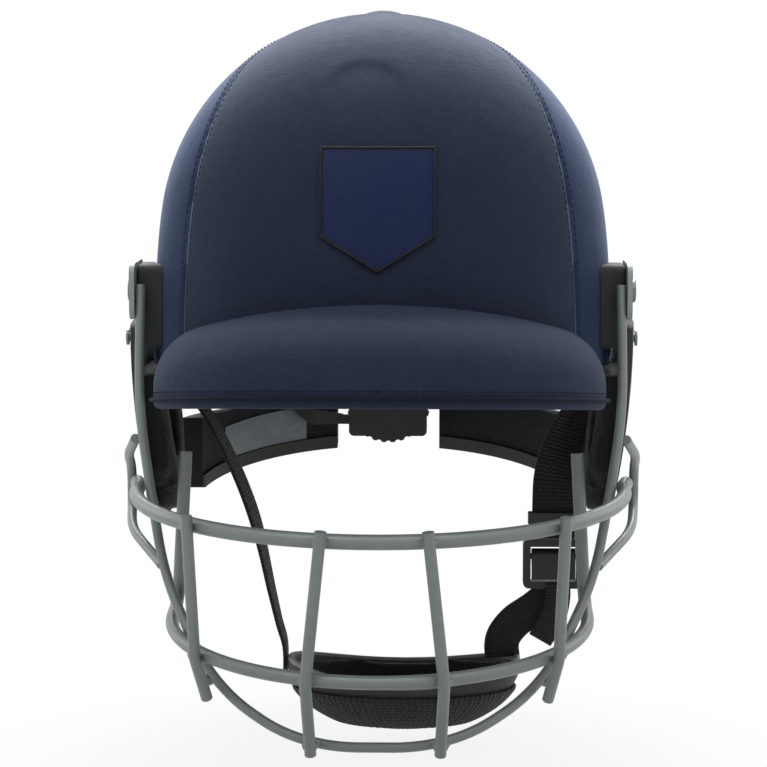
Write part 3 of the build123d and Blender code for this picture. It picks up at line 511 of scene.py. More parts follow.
def strap_profile(width: float, thickness: float, count: int = 28) -> np.ndarray:
    """The section of a strap: a superellipse of the sixth power, so that its sides are nearly straight."""
    turn = np.linspace(0, TURN, count, endpoint=False)
    across, up = np.cos(turn), np.sin(turn)
    return np.stack([width / 2 * np.sign(across) * np.abs(across) ** (1 / 3),
                     thickness / 2 * np.sign(up) * np.abs(up) ** (1 / 3)], -1)


def round_profile(radius: float, count: int = 12) -> np.ndarray:
    """A circle as a profile."""
    turn = np.linspace(0, TURN, count, endpoint=False)
    return radius * np.stack([np.cos(turn), np.sin(turn)], -1)


def stitches(name: str, path: np.ndarray, outward: np.ndarray, pitch: float = 3.0, length: float = 2.1,
             radius: float = 0.2) -> bpy.types.Object:
    """A row of stitches: equal small spindles at even steps along a path, sunk by a part of their radius.

    Each spindle is five circles whose radius is r times the square root of sin(pi t), copied to every place.

    Args:
        name: the piece's name.
        path: the line of the row.
        outward: the surface's normal at the path's points.
        pitch: from one stitch to the next.
        length: length of a stitch.
        radius: its thread's radius.
    """
    along = run_length(path)
    places = np.arange(pitch / 2, along[-1], pitch)
    middle = np.stack([np.interp(places, along, path[:, k]) for k in range(3)], -1)
    normal = unit(np.stack([np.interp(places, along, outward[:, k]) for k in range(3)], -1))
    forward = unit(np.stack([np.interp(places, along, np.gradient(path[:, k])) for k in range(3)], -1))
    sideways = np.cross(normal, forward)
    share = np.linspace(0, 1, 5)
    girth = radius * np.sqrt(np.sin(np.pi * share))
    turn = np.linspace(0, TURN, 6, endpoint=False)
    rings = (middle[:, None, None] + (share[:, None, None] - 0.5) * length * forward[:, None, None]
             + (girth[:, None] * np.cos(turn))[None, ..., None] * sideways[:, None, None]
             + (girth[:, None] * np.sin(turn) + radius * 0.3)[None, ..., None] * normal[:, None, None])
    quads, _ = grid_faces(5, 6, False, True)
    faces = (quads[None] + np.arange(len(places))[:, None, None] * 30).reshape(-1, 4)
    mesh = bpy.data.meshes.new(name)
    mesh.from_pydata((rings.reshape(-1, 3) * MM).tolist(), [], faces.tolist())
    return finished(name, mesh)


def dress(piece: bpy.types.Object, material: bpy.types.Material) -> None:
    """Gives a piece its material, without touching a carried-over node's mesh."""
    if not piece.material_slots:
        piece.data.materials.append(material)
        return
    for slot in piece.material_slots:
        slot.link = "OBJECT"
        slot.material = material


def set_on(piece: bpy.types.Object, body: str, slot: str, material: bpy.types.Material, *nodes: str) -> None:
    """Dresses a new piece, hangs it on the empty of the body that it rides on, and hides the nodes that it
    replaces.

    Args:
        piece: the new piece.
        body: the body that it rides on.
        slot: not used.
        material: its material.
        nodes: the nodes that it replaces.
    """
    dress(piece, material)
    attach(piece, body)
    if nodes:
        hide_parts(*nodes)
    log.info("made %s", piece.name)


def thicken(piece: bpy.types.Object, thickness: float) -> None:
    """Gives a sheet a wall on its inner side, in millimetres."""
    wall = piece.modifiers.new("wall", "SOLIDIFY")
    wall.thickness = thickness * MM
    wall.offset = -1.0


# The dome and its cover
@dataclass
class Dome:
    """The outer form of the dome: a profile turned at both ends and drawn out between."""

    half_width: float = 100.3
    half_length: float = 121.0
    centre_y: float = 4.0
    turn_height: float = 18.0
    lean: float = 250.0
    crown: float = 139.8
    rim_y: tuple[float, ...] = (-117.0, -50.0, 45.0, 78.0, 125.0)
    rim_z: tuple[float, ...] = (-3.0, -12.0, -12.0, -40.0, -40.0)
    row_crowding: float = 1.15
    middle_fade: float = 0.12
    end_sharpness: float = 6.0

    def __post_init__(self) -> None:
        """Works out the crown's arc, which runs into the arc of the leaning wall."""
        self.stretch = self.half_length - self.half_width
        self.lean_x = self.half_width - self.lean
        rise = self.crown - self.turn_height
        self.crown_radius = (rise**2 + self.lean_x**2 - self.lean**2) / (2 * (rise - self.lean))
        self.crown_z = self.crown - self.crown_radius
        self.turn = math.atan2(self.crown_z - self.turn_height, -self.lean_x)

    def profile(self, share: np.ndarray) -> tuple[np.ndarray, np.ndarray]:
        """The distance from the middle and the height, from 0 at the crown to 1 at the top of the wall."""
        crown_run = self.crown_radius * (math.pi / 2 - self.turn)
        run = share * (crown_run + self.lean * self.turn)
        on_crown = math.pi / 2 - run / self.crown_radius
        on_lean = self.turn - (run - crown_run) / self.lean
        upper = run < crown_run
        out = np.where(upper, self.crown_radius * np.cos(on_crown), self.lean_x + self.lean * np.cos(on_lean))
        height = np.where(upper, self.crown_z + self.crown_radius * np.sin(on_crown),
                          self.turn_height + self.lean * np.sin(on_lean))
        return out, height

    def rim(self, y: np.ndarray) -> np.ndarray:
        """The height of the rim."""
        return np.interp(y, self.rim_y, self.rim_z)

    def cloth(self, rows: int = 96, wall_rows: int = 40, columns: int = 288) -> np.ndarray:
        """Points of the cover: rows from the crown down the profile, then down the wall to the rim.

        The straight middle fades out towards the crown, so that the crown is a soft cap and no ridge.
        """
        share = np.linspace(0, 1, rows) ** self.row_crowding
        out, height = self.profile(share)
        turn = np.linspace(0, TURN, columns, endpoint=False)
        stretch = self.stretch * (out / self.half_width) ** self.middle_fade
        x = out[:, None] * np.sin(turn)
        sharp = self.end_sharpness
        ends = stretch[:, None] * np.tanh(sharp * np.cos(turn)) / math.tanh(sharp)
        y = self.centre_y - out[:, None] * np.cos(turn) - ends
        cap = np.stack([x, y, np.repeat(height[:, None], columns, 1)], -1)
        down = np.linspace(0, 1, wall_rows + 1)[1:, None]
        wall_z = self.turn_height + (self.rim(y[-1]) - self.turn_height) * down
        wall = np.stack([np.repeat(x[-1:], wall_rows, 0), np.repeat(y[-1:], wall_rows, 0), wall_z], -1)
        return np.concatenate([cap, wall])

    def depth(self, points: np.ndarray) -> tuple[np.ndarray, np.ndarray]:
        """How deep points lie under the dome's face, and the way out of it.

        The distance is taken in the plane through the nearest point of the middle line: from the wall, from
        the centre of the leaning wall's arc or from the crown's centre.
        """
        ahead = points[:, 1] - self.centre_y
        beyond = np.sign(ahead) * np.maximum(np.abs(ahead) - self.stretch, 0)
        out = np.hypot(points[:, 0], beyond)
        height = points[:, 2]
        on_wall = height < self.turn_height
        rise = np.arctan2(height - self.crown_z, np.maximum(out, 1e-6))
        on_crown = ~on_wall & (rise > self.turn)
        centre_out = np.where(on_crown, 0, self.lean_x)
        centre_up = np.where(on_crown, self.crown_z, self.turn_height)
        radius = np.where(on_crown, self.crown_radius, self.lean)
        reach = np.hypot(out - centre_out, height - centre_up)
        depth = np.where(on_wall, self.half_width - out, radius - reach)
        way_out = np.where(on_wall, 1.0, (out - centre_out) / np.maximum(reach, 1e-6))
        way_up = np.where(on_wall, 0.0, (height - centre_up) / np.maximum(reach, 1e-6))
        flat = np.stack([points[:, 0], beyond], -1) / np.maximum(out, 1e-6)[:, None]
        return depth, np.concatenate([flat * way_out[:, None], way_up[:, None]], 1)

    def laid(self, points: np.ndarray, inset: float) -> tuple[np.ndarray, np.ndarray]:
        """Points moved to lie at an inset under the dome's face, and the way out there."""
        depth, outward = self.depth(points)
        return points + outward * (depth - inset)[:, None], outward


@dataclass
class Cover:
    """The cloth over the dome: a centre panel, two side panels, their seams, a hem and a button."""

    dome: Dome
    seam: tuple[tuple[float, float, float], ...] = (
        (82.5, -72.0, 10.0), (70.5, -58.0, 96.0), (42.0, 0.0, 131.0))
    seam_depth: float = 0.42
    seam_width: float = 1.5
    seam_fade: float = 4.0
    stitch_offset: float = 2.4
    stitch_inset: float = 0.2
    pucker_depth: float = 0.06
    pucker_reach: float = 6.0
    pucker_pitch: float = 7.5
    vent_depth: float = 0.85
    vent_sharpness: float = 20.0
    cloth: float = 0.4
    vent_middle: tuple[float, float] = (-5.0, 103.0)
    vent_half: tuple[float, float] = (17.0, 15.0)
    hem_height: float = 8.0
    button_radius: float = 8.5
    button_height: float = 1.5

    def seam_normal(self, side: Side) -> np.ndarray:
        """The normal of a front seam's plane, towards that side."""
        low, middle, high = (np.array(point) for point in self.seam)
        normal = unit(np.cross(middle - low, high - low))
        return normal * np.sign(normal[0]) * np.array([side.value, 1, 1])

    def seam_distance(self, points: np.ndarray, side: Side) -> np.ndarray:
        """How far points lie outside a front seam's plane."""
        low = np.array(self.seam[0]) * np.array([side.value, 1, 1])
        return (points - low) @ self.seam_normal(side)

    def cuts(self, side: Side | None) -> tuple[tuple[np.ndarray, np.ndarray], ...]:
        """The planes that bound a panel, each as a point and a normal into the panel.

        Args:
            side: the panel's side, or None for the centre panel.
        """
        low = np.array(self.seam[0])
        if side is None:
            return tuple((low * np.array([each.value, 1, 1]), -self.seam_normal(each)) for each in Side)
        seam = low * np.array([side.value, 1, 1]), self.seam_normal(side)
        return seam, (np.zeros(3), np.array([side.value, 0, 0]))

    def panel(self, name: str, side: Side | None) -> bpy.types.Object:
        """A panel of the cover, cut from the whole cloth by its planes.

        Args:
            name: the panel's name.
            side: the panel's side, or None for the centre panel.
        """
        points = self.dome.cloth()
        rows = run_length(points[:, 0])
        columns = np.linspace(0, TURN * self.dome.half_width, points.shape[1] + 1)
        quads, corners = grid_faces(points.shape[0], points.shape[1], False, True)
        mesh = bpy.data.meshes.new(name)
        mesh.from_pydata((points.reshape(-1, 3) * MM).tolist(), [], quads.tolist())
        placed = np.stack([columns[corners[..., 1]], rows[corners[..., 0]]], -1)
        mesh.uv_layers.new(name="cloth").data.foreach_set("uv", placed.reshape(-1))
        form = bmesh.new()
        form.from_mesh(mesh)
        bmesh.ops.remove_doubles(form, verts=form.verts, dist=0.01 * MM)
        for point, normal in self.cuts(side):
            whole = form.verts[:] + form.edges[:] + form.faces[:]
            bmesh.ops.bisect_plane(form, geom=whole, plane_co=Vector(point * MM), plane_no=Vector(normal),
                                   clear_inner=True)
        form.to_mesh(mesh)
        form.free()
        mesh.shade_smooth()
        piece = bpy.data.objects.new(name, mesh)
        bpy.context.scene.collection.objects.link(piece)
        return piece

    def relief(self, points: np.ndarray) -> np.ndarray:
        """How far the cloth dips under the dome's face.

        A narrow valley runs along each seam, with small puckers beside it: the two side seams up to where
        they meet at the back, and from there the back seam. An arched edge over the brow lets the cloth down
        into a shallow vent, which fades out below.
        """
        gaps = {side: self.seam_distance(points, side) for side in Side}
        seams = [(gaps[side], np.clip(points[:, 0] * side.value / self.seam_fade, 0, 1)) for side in Side]
        behind = np.minimum(gaps[Side.LEFT], gaps[Side.RIGHT])
        seams.append((points[:, 0], np.clip(behind / self.seam_fade, 0, 1)))
        wave = 1 - np.sin(TURN * (points[:, 2] + points[:, 1] * 0.6) / self.pucker_pitch)
        dip = sum(share * (self.seam_depth * np.exp(-((gap / self.seam_width) ** 2))
                           + self.pucker_depth * np.exp(-((gap / self.pucker_reach) ** 2)) * wave)
                  for gap, share in seams)
        across = (points[:, 0] - self.vent_middle[0]) / self.vent_half[0]
        up = (points[:, 2] - self.vent_middle[1]) / self.vent_half[1]
        edge = 1 / (1 + np.exp((np.hypot(across, up) - 1) * self.vent_sharpness))
        fade = np.clip((up + 0.8) / 1.6, 0, 1)
        return dip + self.vent_depth * edge * fade * (points[:, 1] < 0)

    def build(self, cloth: dict[str, bpy.types.Material]) -> None:
        """Makes the panels, their stitches, the hem and the button."""
        panels = (("cover_centre", None, "cover_centre_panel", cloth["centre"]),
                  ("cover_side_left", Side.LEFT, "cover_side_panel_left", cloth["side"]),
                  ("cover_side_right", Side.RIGHT, "cover_side_panel_right", cloth["side"]))
        for name, side, node, material in panels:
            piece = self.panel(name, side)
            points = coordinates(piece.data)
            _, outward = self.dome.depth(points)
            move_points(piece.data, points - outward * self.relief(points)[:, None])
            face_away(piece, (0, self.dome.centre_y, self.dome.crown_z))
            thicken(piece, self.cloth)
            set_on(piece, "helmet", "cover_cloth", material, node)
            if side:
                on_seam = np.abs(self.seam_distance(points, side)) < 0.02
                beside = points[on_seam & (points[:, 0] * side.value > 3)]
                both = (-self.stitch_offset, self.stitch_offset)
                self.stitch_seam(beside, f"seam_stitches_{side.word}", both, cloth["thread"])
                back = points[(np.abs(points[:, 0]) < 0.02) & (points[:, 1] > 90)]
                one = (self.stitch_offset * side.value,)
                self.stitch_seam(back, f"back_stitches_{side.word}", one, cloth["thread"])
        self.hem(cloth["side"], cloth["thread"])
        self.button(cloth["centre"])

    def stitch_seam(self, line: np.ndarray, name: str, offsets: tuple[float, ...],
                    thread: bpy.types.Material) -> None:
        """Rows of stitches along a seam.

        Args:
            line: the seam's points, in any order.
            name: the start of each row's name.
            offsets: how far beside the seam each row lies.
            thread: the rows' material.
        """
        line = line[np.argsort(np.arctan2(line[:, 2] + 60, line[:, 1]))][::3]
        _, outward = self.dome.depth(line)
        sideways = unit(np.cross(outward, np.gradient(line, axis=0)))
        for row, offset in enumerate(offsets):
            path, normal = self.dome.laid(line + sideways * offset, self.stitch_inset)
            set_on(stitches(f"{name}_{row}", path, normal), "helmet", "cover_cloth", thread)

    def hem(self, material: bpy.types.Material, thread: bpy.types.Material) -> None:
        """The turned hem round the rim behind the peak, and its row of stitches.

        The rim's line is the dome's outline at its rim height, and the hem's flat oval section stands on it.
        """
        outline = self.dome.cloth()[-1]
        outline = outline[outline[:, 1] > -46]
        start = int(np.argmax(np.linalg.norm(np.diff(outline, axis=0), axis=-1))) + 1
        outline = np.roll(outline, -start, 0) if start < len(outline) else outline
        path = outline + np.array([0, 0, self.hem_height / 2])
        path, normal = self.dome.laid(path, -0.15)
        steep = unit(np.gradient(outline, axis=0))
        upward = unit(np.cross(normal, steep))
        upward = upward * np.sign(upward[:, 2:3])
        piece = carried("cover_hem", path, upward, strap_profile(self.hem_height, 0.9, 20))
        set_on(piece, "helmet", "cover_cloth", material)
        row = stitches("hem_stitches", path + upward * 1.6 + normal * 0.45, normal)
        set_on(row, "helmet", "cover_cloth", thread)

    def button(self, material: bpy.types.Material) -> None:
        """The covered button: a low round swelling on the crown's arc, with folds gathered at its edge."""
        share = np.linspace(0, 1, 18)
        turn = np.linspace(0, TURN, 48, endpoint=False)
        out = self.button_radius * np.sin(share * math.pi / 2)
        swelling = self.button_height * np.cos(share * math.pi / 2) ** 1.4
        height = self.dome.crown - out**2 / (2 * self.dome.crown_radius) + swelling
        folds = 1 + 0.02 * np.sin(turn * 12)[None] * share[:, None] ** 2
        points = np.stack([out[:, None] * folds * np.cos(turn),
                           self.dome.centre_y + out[:, None] * folds * np.sin(turn),
                           np.repeat(height[:, None], 48, 1)], -1)
        base = np.array([[0, self.dome.centre_y, height[-1] - 0.3]])
        points = np.concatenate([points, np.repeat(base[:, None], 48, 1)])
        chart = (np.concatenate([share * 12, [12.5]]), np.linspace(0, 30, 49))
        set_on(surface("crown_button_cloth", points, False, True, chart), "helmet", "cover_cloth", material,
               "crown_button")


@dataclass
class Peak:
    """The peak's cloth sleeve: round in front, straight at the sides, with a turned-down lip and a piping."""

    dome: Dome
    half_width: float = 95.5
    centre_y: float = -69.5
    centre_z: float = -8.5
    tilt: float = 7.3
    reach_back: float = 21.0
    thickness: float = 6.0
    lip: float = 6.5
    lip_top: float = -10.0
    crest: float = 26.0
    slope: float = 17.0
    root: float = 58.0
    piping: float = 0.9
    ripples: int = 31
    ripple_depth: float = 0.25
    stitch_height: float = 3.0
    end_stations: int = 8

    def chain(self, depth: float, count: int) -> np.ndarray:
        """The section at a depth: from the lip's lower edge over the crest's arc to the root."""
        steep = math.radians(90 - self.slope)
        radius = self.crest - depth
        arc = np.linspace(0, steep, count)
        centre_x = self.half_width - self.crest
        turn = np.stack([centre_x + radius * np.cos(arc), self.lip_top + radius * np.sin(arc)], -1)
        rise = np.linspace(0, 1, count)[1:, None]
        run = self.root - self.half_width + turn[-1, 0]
        end = turn[-1] + np.array([-run, run * math.tan(math.radians(self.slope))])
        face = np.stack([np.full(count, self.half_width - depth),
                         self.lip_top - self.lip * np.linspace(1, 0, count)], -1)
        return np.concatenate([face[:-1], turn, turn[-1] + (end - turn[-1]) * rise])

    def placed(self, out: np.ndarray, height: np.ndarray, turn: np.ndarray, back: np.ndarray) -> np.ndarray:
        """Points of a section carried round the front and along the sides, then tipped up in front."""
        x = out * np.sin(turn)
        y = back - out * np.cos(turn)
        tip = math.radians(self.tilt)
        return np.stack([x, self.centre_y + y * math.cos(tip) + height * math.sin(tip),
                         self.centre_z - y * math.sin(tip) + height * math.cos(tip)], -1)

    def stations(self, count: int = 200) -> tuple[np.ndarray, np.ndarray]:
        """The turn and the way back of each section, from the right side round the front to the left."""
        straight = np.linspace(self.reach_back, 0, self.end_stations + 1)[:-1]
        turn = np.linspace(-math.pi / 2, math.pi / 2, count)
        ends = np.full(len(straight), math.pi / 2)
        back = np.concatenate([straight, np.zeros(count), straight[::-1]])
        return np.concatenate([-ends, turn, ends]), back

    def trimmed(self, chain: np.ndarray, turn: np.ndarray, back: np.ndarray, count: int) -> np.ndarray:
        """The section's stretch outside the dome, at every station.

        Each section is cut where it first comes within a fifth of a millimetre of the dome's wall, and the
        part that is left is sampled again at even steps.
        """
        fine = np.linspace(0, 1, 240)
        along = run_length(chain) / run_length(chain)[-1]
        out = np.interp(fine, along, chain[:, 0])
        height = np.interp(fine, along, chain[:, 1])
        points = self.placed(out[None], height[None], turn[:, None], back[:, None])
        depth, _ = self.dome.depth(points.reshape(-1, 3))
        inside = depth.reshape(len(turn), -1) > -0.2
        inside[:, -1] = True
        last = fine[np.argmax(inside, axis=1)]
        share = np.linspace(0, 1, count)[None] * last[:, None]
        return self.placed(np.interp(share, along, chain[:, 0]), np.interp(share, along, chain[:, 1]),
                           turn[:, None], back[:, None])

    def build(self, cloth: bpy.types.Material, piping: bpy.types.Material,
              thread: bpy.types.Material) -> None:
        """Makes the sleeve, the piping under the lip and the row of stitches over it."""
        turn, back = self.stations()
        upper = self.trimmed(self.chain(0, 14), turn, back, 44)
        under = self.trimmed(self.chain(self.thickness, 14), turn, back, 30)
        swing = np.linspace(0, math.pi, 9)[1:-1]
        out = self.half_width - self.thickness / 2 * (1 - np.cos(swing))
        low = self.lip_top - self.lip
        edge = self.placed(out[None], low - self.thickness / 2 * np.sin(swing)[None], turn[:, None],
                           back[:, None])
        points = np.concatenate([upper[:, ::-1], edge, under], 1)
        fade = np.exp(-np.linspace(0, 6, points.shape[1]))[None]
        ripple = self.ripple_depth * np.sin(turn * self.ripples)[:, None] * fade
        points[..., 2] -= np.abs(ripple)
        tips = np.repeat(points[[0, -1]].mean(1, keepdims=True), points.shape[1], 1)
        points = np.concatenate([tips[:1], points, tips[1:]])
        along = run_length(points[:, 50])
        across = np.append(run_length(points[len(points) // 2]), 140)
        sleeve = surface("peak_sleeve", points, False, True, (along, across))
        set_on(sleeve, "helmet", "cover_cloth", cloth, "peak_cover")
        between = slice(self.end_stations, -self.end_stations)
        bead_out = np.full(len(turn), self.half_width + self.piping + 0.1)
        bead_up = np.full(len(turn), self.lip_top - self.lip + self.piping)
        path = self.placed(bead_out, bead_up, turn, back)[between]
        outward = np.stack([np.sin(turn), -np.cos(turn), np.zeros_like(turn)], -1)[between]
        cord = carried("peak_piping_cord", path, outward, round_profile(self.piping))
        set_on(cord, "helmet", "piping", piping, "peak_piping")
        row = self.placed(bead_out - self.piping, bead_up + self.stitch_height, turn, back)[between]
        set_on(stitches("lip_stitches", row, outward), "helmet", "piping", thread)


@dataclass
class BrowPatch:
    """A blank shield on the brow with an overlocked border."""

    dome: Dome
    width: float = 46.0
    height: float = 49.5
    point: float = 14.0
    middle_z: float = 58.7
    border: float = 1.5

    def outline(self) -> np.ndarray:
        """The shield's outline seen from the front."""
        half, low = self.width / 2, self.middle_z - self.height / 2
        corners = np.array([(0, low), (half, low + self.point), (half, low + self.height),
                            (-half, low + self.height), (-half, low + self.point), (0, low)])
        share = run_length(corners)
        even = np.linspace(0, share[-1], 240, endpoint=False)
        return np.stack([np.interp(even, share, corners[:, k]) for k in range(2)], -1)

    def on_dome(self, flat: np.ndarray, lift: float) -> np.ndarray:
        """Points seen from the front, laid on the dome's face at a lift."""
        points = np.stack([flat[:, 0], np.full(len(flat), -100.0), flat[:, 1]], -1)
        for _ in range(12):
            depth, outward = self.dome.depth(points)
            points[:, 1] += (depth + lift) * outward[:, 1]
        return points

    def build(self, field_cloth: bpy.types.Material, border: bpy.types.Material) -> None:
        """Makes the field as rings drawn in to the middle, and the border as a cord along the outline."""
        outline = self.outline()
        middle = np.array([0.0, self.middle_z])
        rings = np.linspace(1.0, 0.0, 26)[:, None, None] * (outline - middle)[None] + middle
        flat = rings.reshape(-1, 2)
        points = self.on_dome(flat, 0.75).reshape(*rings.shape[:2], 3)
        skirt = self.on_dome(outline, 0.05)[None]
        points = np.concatenate([skirt, points])
        chart = (np.linspace(0, 27, len(points)), np.linspace(0, 180, 241))
        piece = surface("brow_patch_field", points, False, True, chart)
        set_on(piece, "helmet", "patch", field_cloth, "brow_patch")
        path = self.on_dome(outline, 0.5)
        _, outward = self.dome.depth(path)
        cord = carried("brow_patch_border", path, outward, round_profile(self.border / 2, 10), True)
        set_on(cord, "helmet", "patch", border)


@dataclass
class Padding:
    """Soft pads: each node's form, swollen by a short cloth simulation."""

    dome: Dome
    voxel: float = 3.2
    pressure: float = 4.0
    shrink: float = 0.9
    frames: int = 16
    liner_face: float = 16.3
    pads: dict[str, tuple[str, str, float]] = field(default_factory=lambda: {
        "brow_pad": ("brow_cushion", "helmet", 2.6),
        "nape_pad": ("nape_cushion", "helmet", 2.6),
        "side_pads": ("side_cushions", "helmet", 2.4),
        "crown_pad": ("crown_cushion", "helmet", 2.4),
        "ear_pad_left": ("ear_cushion_left", "helmet", 2.2),
        "ear_pad_right": ("ear_cushion_right", "helmet", 2.2),
        "chin_pad": ("chin_cushion", "chin_strap", 1.2),
    })

    def remeshed(self, node: str, name: str) -> bpy.types.Object:
        """A node's closed form as an even mesh, drawn in a little."""
        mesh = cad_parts[node].data.copy()
        mesh.materials.clear()
        form = bmesh.new()
        form.from_mesh(mesh)
        bmesh.ops.remove_doubles(form, verts=form.verts, dist=0.01 * MM)
        form.to_mesh(mesh)
        form.free()
        piece = bpy.data.objects.new(name, mesh)
        bpy.context.scene.collection.objects.link(piece)
        voxels = piece.modifiers.new("voxels", "REMESH")
        voxels.mode = "VOXEL"
        voxels.voxel_size = self.voxel * MM
        piece = self.applied(piece)
        normals = np.empty(len(piece.data.vertices) * 3)
        piece.data.vertices.foreach_get("normal", normals)
        move_points(piece.data, coordinates(piece.data) - normals.reshape(-1, 3) * self.shrink)
        return piece

    @staticmethod
    def applied(piece: bpy.types.Object) -> bpy.types.Object:
        """A piece with its modifiers worked into its mesh."""
        graph = bpy.context.evaluated_depsgraph_get()
        mesh = bpy.data.meshes.new_from_object(piece.evaluated_get(graph))
        piece.modifiers.clear()
        piece.data = mesh
        return piece

    def swell(self, piece: bpy.types.Object, cap: float) -> None:
        """Swells a pad by air pressure with no gravity, and caps how far each point moves."""
        before = coordinates(piece.data)
        cloth = piece.modifiers.new("swell", "CLOTH")
        cloth.settings.use_pressure = True
        cloth.settings.uniform_pressure_force = self.pressure
        cloth.settings.effector_weights.gravity = 0
        cloth.settings.quality = 4
        cloth.point_cache.frame_start = 1
        cloth.point_cache.frame_end = self.frames
        for step in range(1, self.frames + 1):
            bpy.context.scene.frame_set(step)
        graph = bpy.context.evaluated_depsgraph_get()
        after = coordinates(piece.evaluated_get(graph).data)
        piece.modifiers.clear()
        bpy.context.scene.frame_set(1)
        moved = after - before
        moved -= moved.mean(0)
        reach = np.linalg.norm(moved, axis=1, keepdims=True)
        move_points(piece.data, before + moved * np.minimum(1, cap / np.maximum(reach, 1e-6)))

    def held(self, piece: bpy.types.Object, inset: float) -> None:
        """Keeps a pad under the liner's inner face."""
        points = coordinates(piece.data)
        depth, outward = self.dome.depth(points)
        move_points(piece.data, points - outward * np.maximum(inset - depth, 0)[:, None])

    def build(self, cloth: bpy.types.Material) -> None:
        """Makes every pad."""
        for node, (name, body, cap) in self.pads.items():
            piece = self.remeshed(node, name)
            self.swell(piece, cap)
            if node in ("brow_pad", "nape_pad", "side_pads", "crown_pad"):
                self.held(piece, self.liner_face)
            rounder = piece.modifiers.new("rounder", "SUBSURF")
            rounder.levels = rounder.render_levels = 1
            piece = self.applied(piece)
            piece.data.shade_smooth()
            set_on(piece, body, "padding", cloth, node)


@dataclass
class ChinStrap:
    """The webbing: a long side, a buckled side in two lengths, and the strap's free end."""

    width: float = 19.0
    lower_width: float = 15.5
    tail_width: float = 11.0
    thickness: float = 1.8
    buckle_rows: tuple[float, float] = (-86.5, -89.0)
    buckle_row_x: tuple[float, float] = (68.5, 83.5)
    buckle_row_y: float = -20.9
    long_side: tuple[tuple[float, float, float], ...] = (
        (-90.4, -18, 3.5), (-90.4, -18, -4), (-90.2, -18, -15), (-86.0, -18, -25),
        (-77.5, -18.2, -37), (-69.0, -18.5, -53), (-62.0, -18.6, -69), (-56.8, -18.6, -84),
        (-53.3, -18.4, -98), (-49.8, -18, -115), (-46.4, -18, -130), (-43.6, -18, -141),
        (-43.5, -18, -155.5))
    long_lean: tuple[float, ...] = (0, 0, 0, 2, 4, 6, 7, 7, 5, 3, 1, 0, 0)
    short_side: tuple[tuple[float, float, float], ...] = (
        (90.4, -18, 3.5), (90.4, -18, -4), (90.0, -18.1, -14), (87.8, -18.3, -26), (84.0, -18.8, -39),
        (79.5, -19.4, -52), (76.6, -19.9, -64), (76.0, -20, -76), (76.0, -20, -91.6))
    short_lean: tuple[float, ...] = (0, 0, 8, 27, 50, 74, 88, 90, 90)
    lower: tuple[tuple[float, float, float], ...] = (
        (76.0, -20, -114.4), (74.0, -20.1, -118), (67.5, -20.5, -123.5), (59.5, -20.6, -129),
        (54.6, -20.4, -135.0), (53.2, -20.2, -140.0), (53.6, -20, -145.4))
    tail: tuple[tuple[float, float, float], ...] = (
        (78.0, -24.2, -111.6), (78.0, -24.3, -118), (76.6, -24.7, -125), (73.6, -24.7, -131),
        (70.2, -24.4, -136.8))

    def strap(self, name: str, route: tuple[tuple[float, float, float], ...], lean: tuple[float, ...],
              width: float) -> bpy.types.Object:
        """A strap along a route.

        Args:
            name: the strap's name.
            route: the points that its middle passes.
            lean: degrees at each point, from 0 where it faces sideways to 90 where it faces forwards.
            width: the strap's width.
        """
        path = smoothed(np.array(route), 90)
        turn = np.radians(smoothed(np.array(lean, float)[:, None], 90))[:, 0]
        across = np.stack([np.sin(turn), np.cos(turn), np.zeros_like(turn)], -1)
        return carried(name, path, across, strap_profile(width, self.thickness))

    def build(self, webbing: bpy.types.Material, thread: bpy.types.Material) -> None:
        """Makes each length of webbing and the stitches that tack it."""
        facing = (90.0,) * 7
        rows = (
            ("strap_long_side", self.long_side, self.long_lean, self.width, "strap_right"),
            ("strap_short_side", self.short_side, self.short_lean, self.width, "strap_left"),
            ("strap_under_buckle", self.lower, facing, self.lower_width, "strap_left_lower"),
            ("strap_free_end", self.tail, facing[:5], self.tail_width, "strap_tail"),
        )
        for name, route, lean, width, node in rows:
            set_on(self.strap(name, route, lean, width), "chin_strap", "webbing", webbing, node)
        across = np.linspace(*self.buckle_row_x, 12)
        outward = np.tile([0.0, -1.0, 0.0], (12, 1))
        for level in self.buckle_rows:
            row = np.stack([across, np.full(12, self.buckle_row_y), np.full(12, level)], -1)
            piece = stitches(f"buckle_stitches_{int(-level)}", row, outward, 1.9, 1.4, 0.22)
            set_on(piece, "chin_strap", "webbing", thread)


